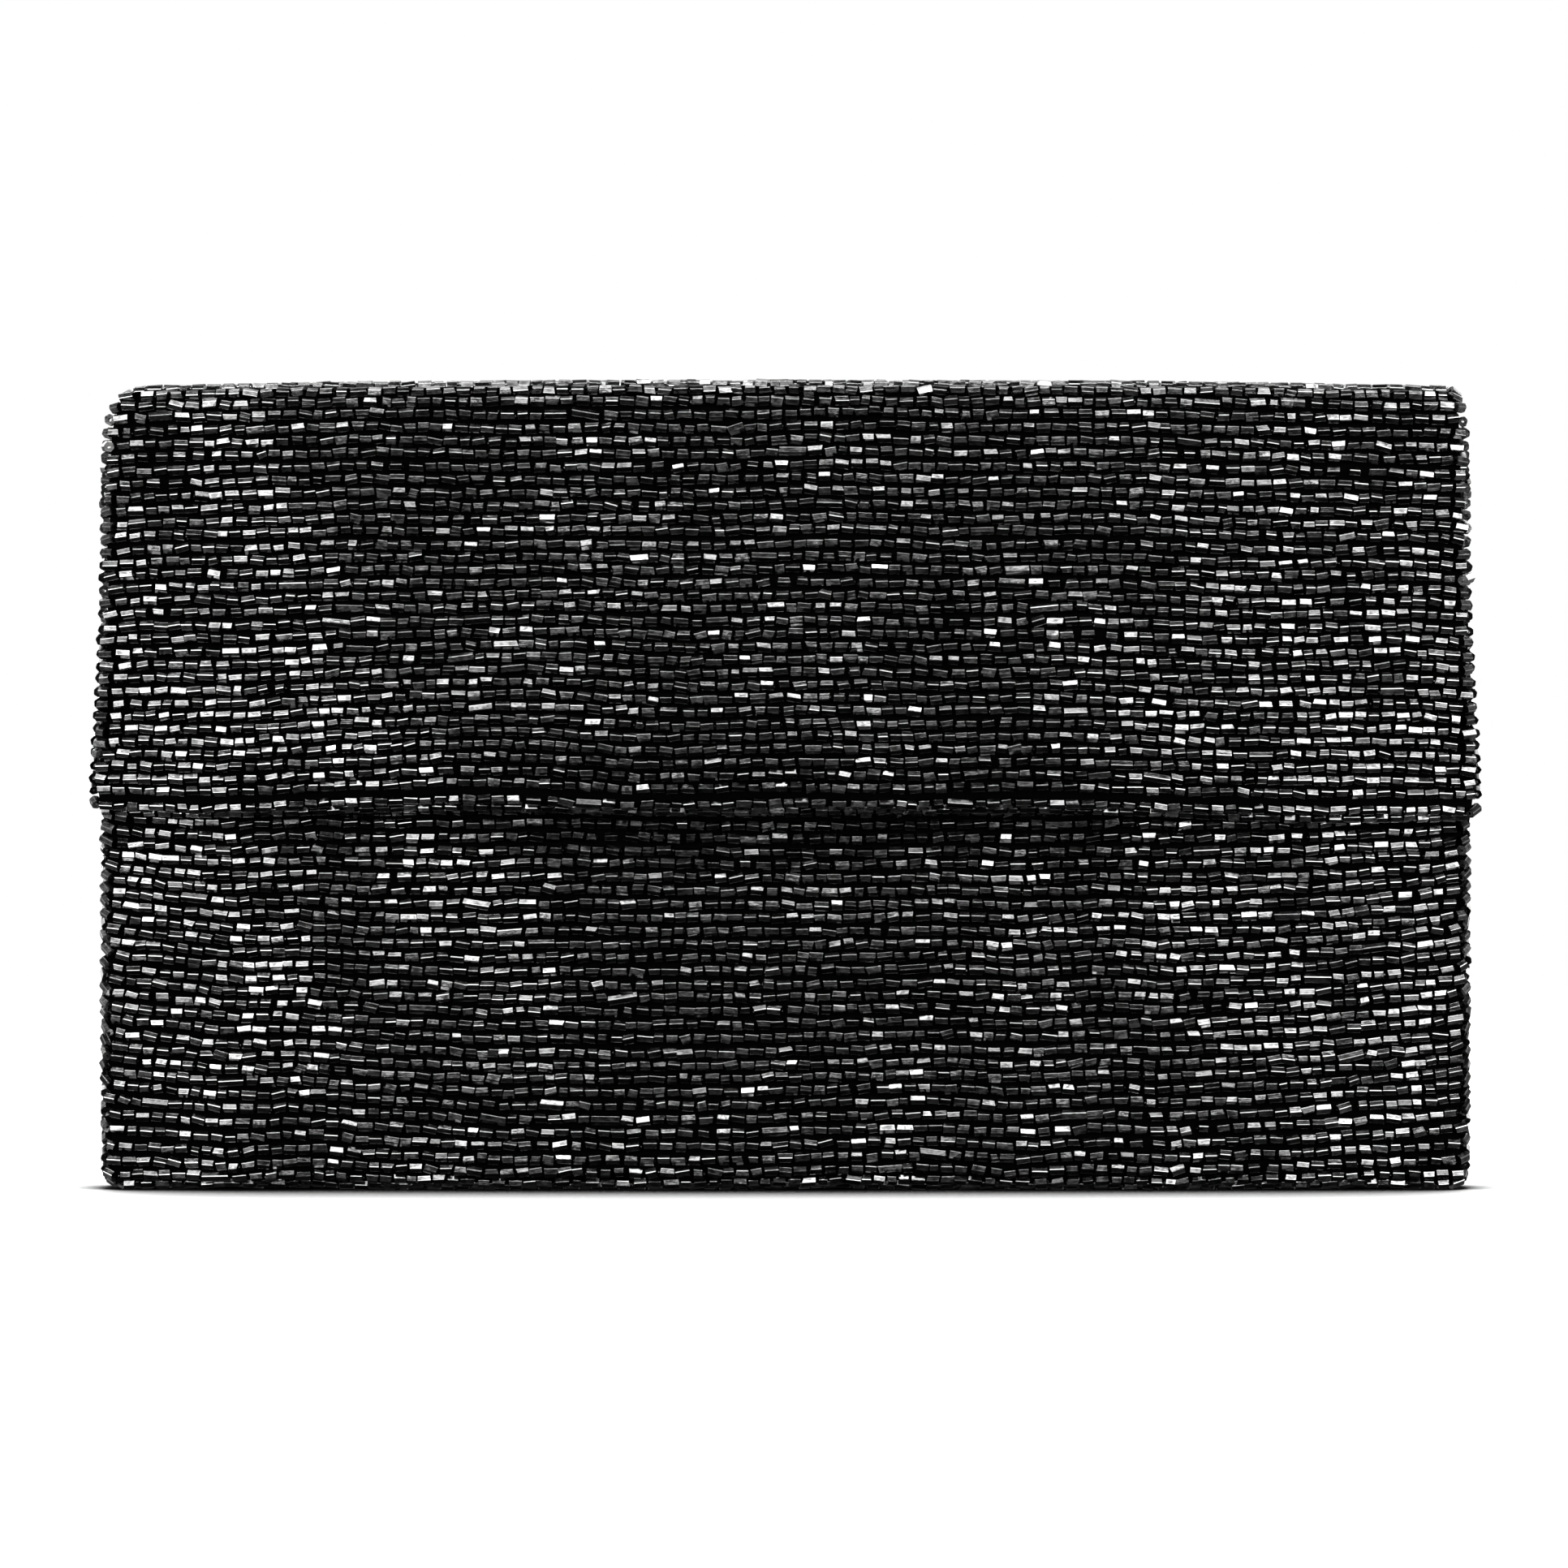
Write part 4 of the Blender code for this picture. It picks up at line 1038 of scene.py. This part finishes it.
# Flap
in_parts(flap_rows(31), "flap", [("flap_beads_upper", 0), ("flap_beads_lower", 17)])
flap_cloth = slab(
    "flap_ground_cloth",
    flap_grid(CLOTH_DEPTH),
    flap_grid(CLOTH_DEPTH + CLOTH_THICKNESS),
    CLOTH,
)
declare(flap_cloth, "flap", ["flap_beaded_panel"])
pad = slab(
    "flap_wadding_pad",
    flap_layer(FLAP_WADDING[1], FLAP_PAD_INSET, FLAP_LOW + FLAP_PAD_INSET, FLAP_PAD_TOP),
    flap_layer(FLAP_WADDING[0], FLAP_PAD_INSET, FLAP_LOW + FLAP_PAD_INSET, FLAP_PAD_TOP, 0.0),
    WADDING,
)
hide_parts("flap_wadding")
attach(pad, "flap")
facing = slab("flap_satin_facing", facing_grid(FACING), facing_grid(0.0), SATIN)
declare(facing, "flap", ["flap_facing"])

# Over the top
for part, bodies, fold_y, seed in (
    ("rear", ("body", "spine"), REAR_FOLD_Y, 41),
    ("front", ("spine", "flap"), FRONT_FOLD_Y, 42),
):
    grid = top_grid(BEAD_DEPTH, part)
    normals = outward(grid, away_from_fold(fold_y))
    reach = running_length(grid, 0)[-1]
    count = int(round(reach.max() / ROW_PITCH))
    at = (np.arange(count)[:, None] + 0.5) * reach[None] / count
    beads = bead_mesh(part + "_fold_beads", lay_beads(rows_on(grid, normals, at), seed + 50))
    cloth = slab(
        part + "_fold_cloth",
        top_grid(CLOTH_DEPTH, part),
        top_grid(CLOTH_DEPTH + CLOTH_THICKNESS, part),
        CLOTH,
    )
    satin = slab(
        part + "_fold_satin",
        top_grid(CLOTH_DEPTH + CLOTH_THICKNESS + FOLD_SATIN[0], part),
        top_grid(CLOTH_DEPTH + CLOTH_THICKNESS + FOLD_SATIN[1], part),
        SATIN,
    )
    if part == "rear":
        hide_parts("spine_beaded_strip")
        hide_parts("spine_lining")
    for piece in (beads, cloth, satin):
        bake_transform(piece)

# The CAD pieces that stay
for material, nodes in (
    (BOARD, ("front_stiffener", "back_stiffener", "flap_stiffener")),
    (METAL, ("socket_base", "socket_cap", "socket_washer", "stud_base", "stud_washer")),
    (FERRITE, ("socket_magnet",)),
):
    for node in nodes:
        for slot in frame["nodes"][node].material_slots:
            slot.material = material


# ---- Stage, light and camera -------------------------------------------------
FLOOR_HALF = 1.1


def stage_material():
    """A white table top that glows a little. Close under an object an ambient-occlusion mask darkens its
    colour and its glow towards near black: a painted contact shadow.
    """
    material, shader = new_material(
        "studio_floor", "#f4f4f4", 0.9, Specular_IOR_Level=0.0, Emission_Color=linear("#ffffff")
    )
    # Painted contact shadow: ambient occlusion near the object darkens the floor's colour and glow.
    near = add(material, "AmbientOcclusion", (), {"Distance": 0.045}, samples=8)
    shade = add(
        material,
        "MapRange",
        {"Value": near.outputs["AO"]},
        {"From Min": 0.5, "From Max": 0.98, "To Min": 0.0, "To Max": 1.0},
    )
    glow_with_painted_shadow = add(material, "Math", {0: shade.outputs["Result"]}, {1: 0.7}, operation="MULTIPLY")
    link(material, glow_with_painted_shadow.outputs[0], shader.inputs["Emission Strength"])
    colour = add(
        material,
        "Mix",
        {0: shade.outputs["Result"]},
        {6: linear("#1c1c1d"), 7: linear("#f4f4f4")},
        data_type="RGBA",
    )
    link(material, colour.outputs[2], shader.inputs["Base Color"])
    return material


def floor():
    """A wide plain floor."""
    mesh = bpy.data.meshes.new("studio_floor")
    corners = [(x * FLOOR_HALF, y * FLOOR_HALF, 0) for x, y in ((-1, -1), (1, -1), (1, 1), (-1, 1))]
    mesh.from_pydata(corners, [], [(0, 1, 2, 3)])
    mesh.materials.append(stage_material())
    piece = bpy.data.objects.new("studio_floor", mesh)
    bpy.context.scene.collection.objects.link(piece)
    piece.visible_glossy = False  # a dark surround under the beads, as on a raised shooting table


def softbox(name, place, size, power):
    """A rectangular area light at place, facing AIM."""
    data = bpy.data.lights.new(name, "AREA")
    data.shape = "RECTANGLE"
    data.size, data.size_y = size
    data.energy = power
    lamp = bpy.data.objects.new(name, data)
    bpy.context.scene.collection.objects.link(lamp)
    lamp.location = place
    lamp.rotation_euler = (Vector(AIM) - Vector(place)).to_track_quat("-Z", "Y").to_euler()


def world():
    """A white backdrop for the camera. What the beads mirror is dim, brighter to the sides and above."""
    made = bpy.data.worlds.new("studio")
    bpy.context.scene.world = made
    made.use_nodes = True
    made.node_tree.nodes.clear()
    place = add(made, "TexCoord")
    way = add(made, "SeparateXYZ", {"Vector": place.outputs["Generated"]})
    aside = add(made, "Math", {0: way.outputs["X"]}, operation="ABSOLUTE")
    sides = add(
        made,
        "MapRange",
        {"Value": aside.outputs[0]},
        {"From Min": 0.15, "From Max": 0.9, "To Min": 0.0, "To Max": 0.35},
        interpolation_type="SMOOTHSTEP",
    )
    above = add(
        made,
        "MapRange",
        {"Value": way.outputs["Z"]},
        {"From Min": 0.25, "From Max": -0.7, "To Min": 0.11, "To Max": 0.015},
        interpolation_type="SMOOTHSTEP",
    )
    dim = add(made, "Math", {0: sides.outputs["Result"], 1: above.outputs["Result"]}, operation="ADD")
    seen = add(made, "Background", (), {"Color": (1, 1, 1, 1), "Strength": 1.0})
    mirrored = add(made, "Background", {"Strength": dim.outputs[0]}, {"Color": (1, 1, 1, 1)})
    path = add(made, "LightPath")
    both = add(
        made, "MixShader", {0: path.outputs["Is Camera Ray"], 1: mirrored.outputs[0], 2: seen.outputs[0]}
    )
    add(made, "OutputWorld", {"Surface": both.outputs[0]})


floor()
world()
AIM = (0, 0, 0.085)
for name, place, size, power in (
    ("left_softbox", (-0.735, -1.16, 0.56), (1.0, 1.1), 23),
    ("right_softbox", (0.735, -1.16, 0.56), (1.0, 1.1), 23),
    ("top_strip", (0, -0.49, 1.29), (1.7, 0.16), 9),
    ("rear_softbox", (0, 0.66, 1.05), (1.7, 0.8), 9),
    ("rear_left_softbox", (-0.8, 1.1, 0.5), (0.9, 0.9), 8),
    ("rear_right_softbox", (0.8, 1.1, 0.5), (0.9, 0.9), 8),
):
    softbox(name, place, size, power)

camera_data = bpy.data.cameras.new("camera")
camera = bpy.data.objects.new("camera", camera_data)
bpy.context.scene.collection.objects.link(camera)
camera.location = (-0.3 * MM, -1.1, 76.6 * MM)
camera.rotation_euler = (math.pi / 2, 0, 0)
camera_data.lens = 133.5
camera_data.sensor_width = 36
bpy.context.scene.camera = camera
bpy.context.scene.view_settings.view_transform = "Standard"
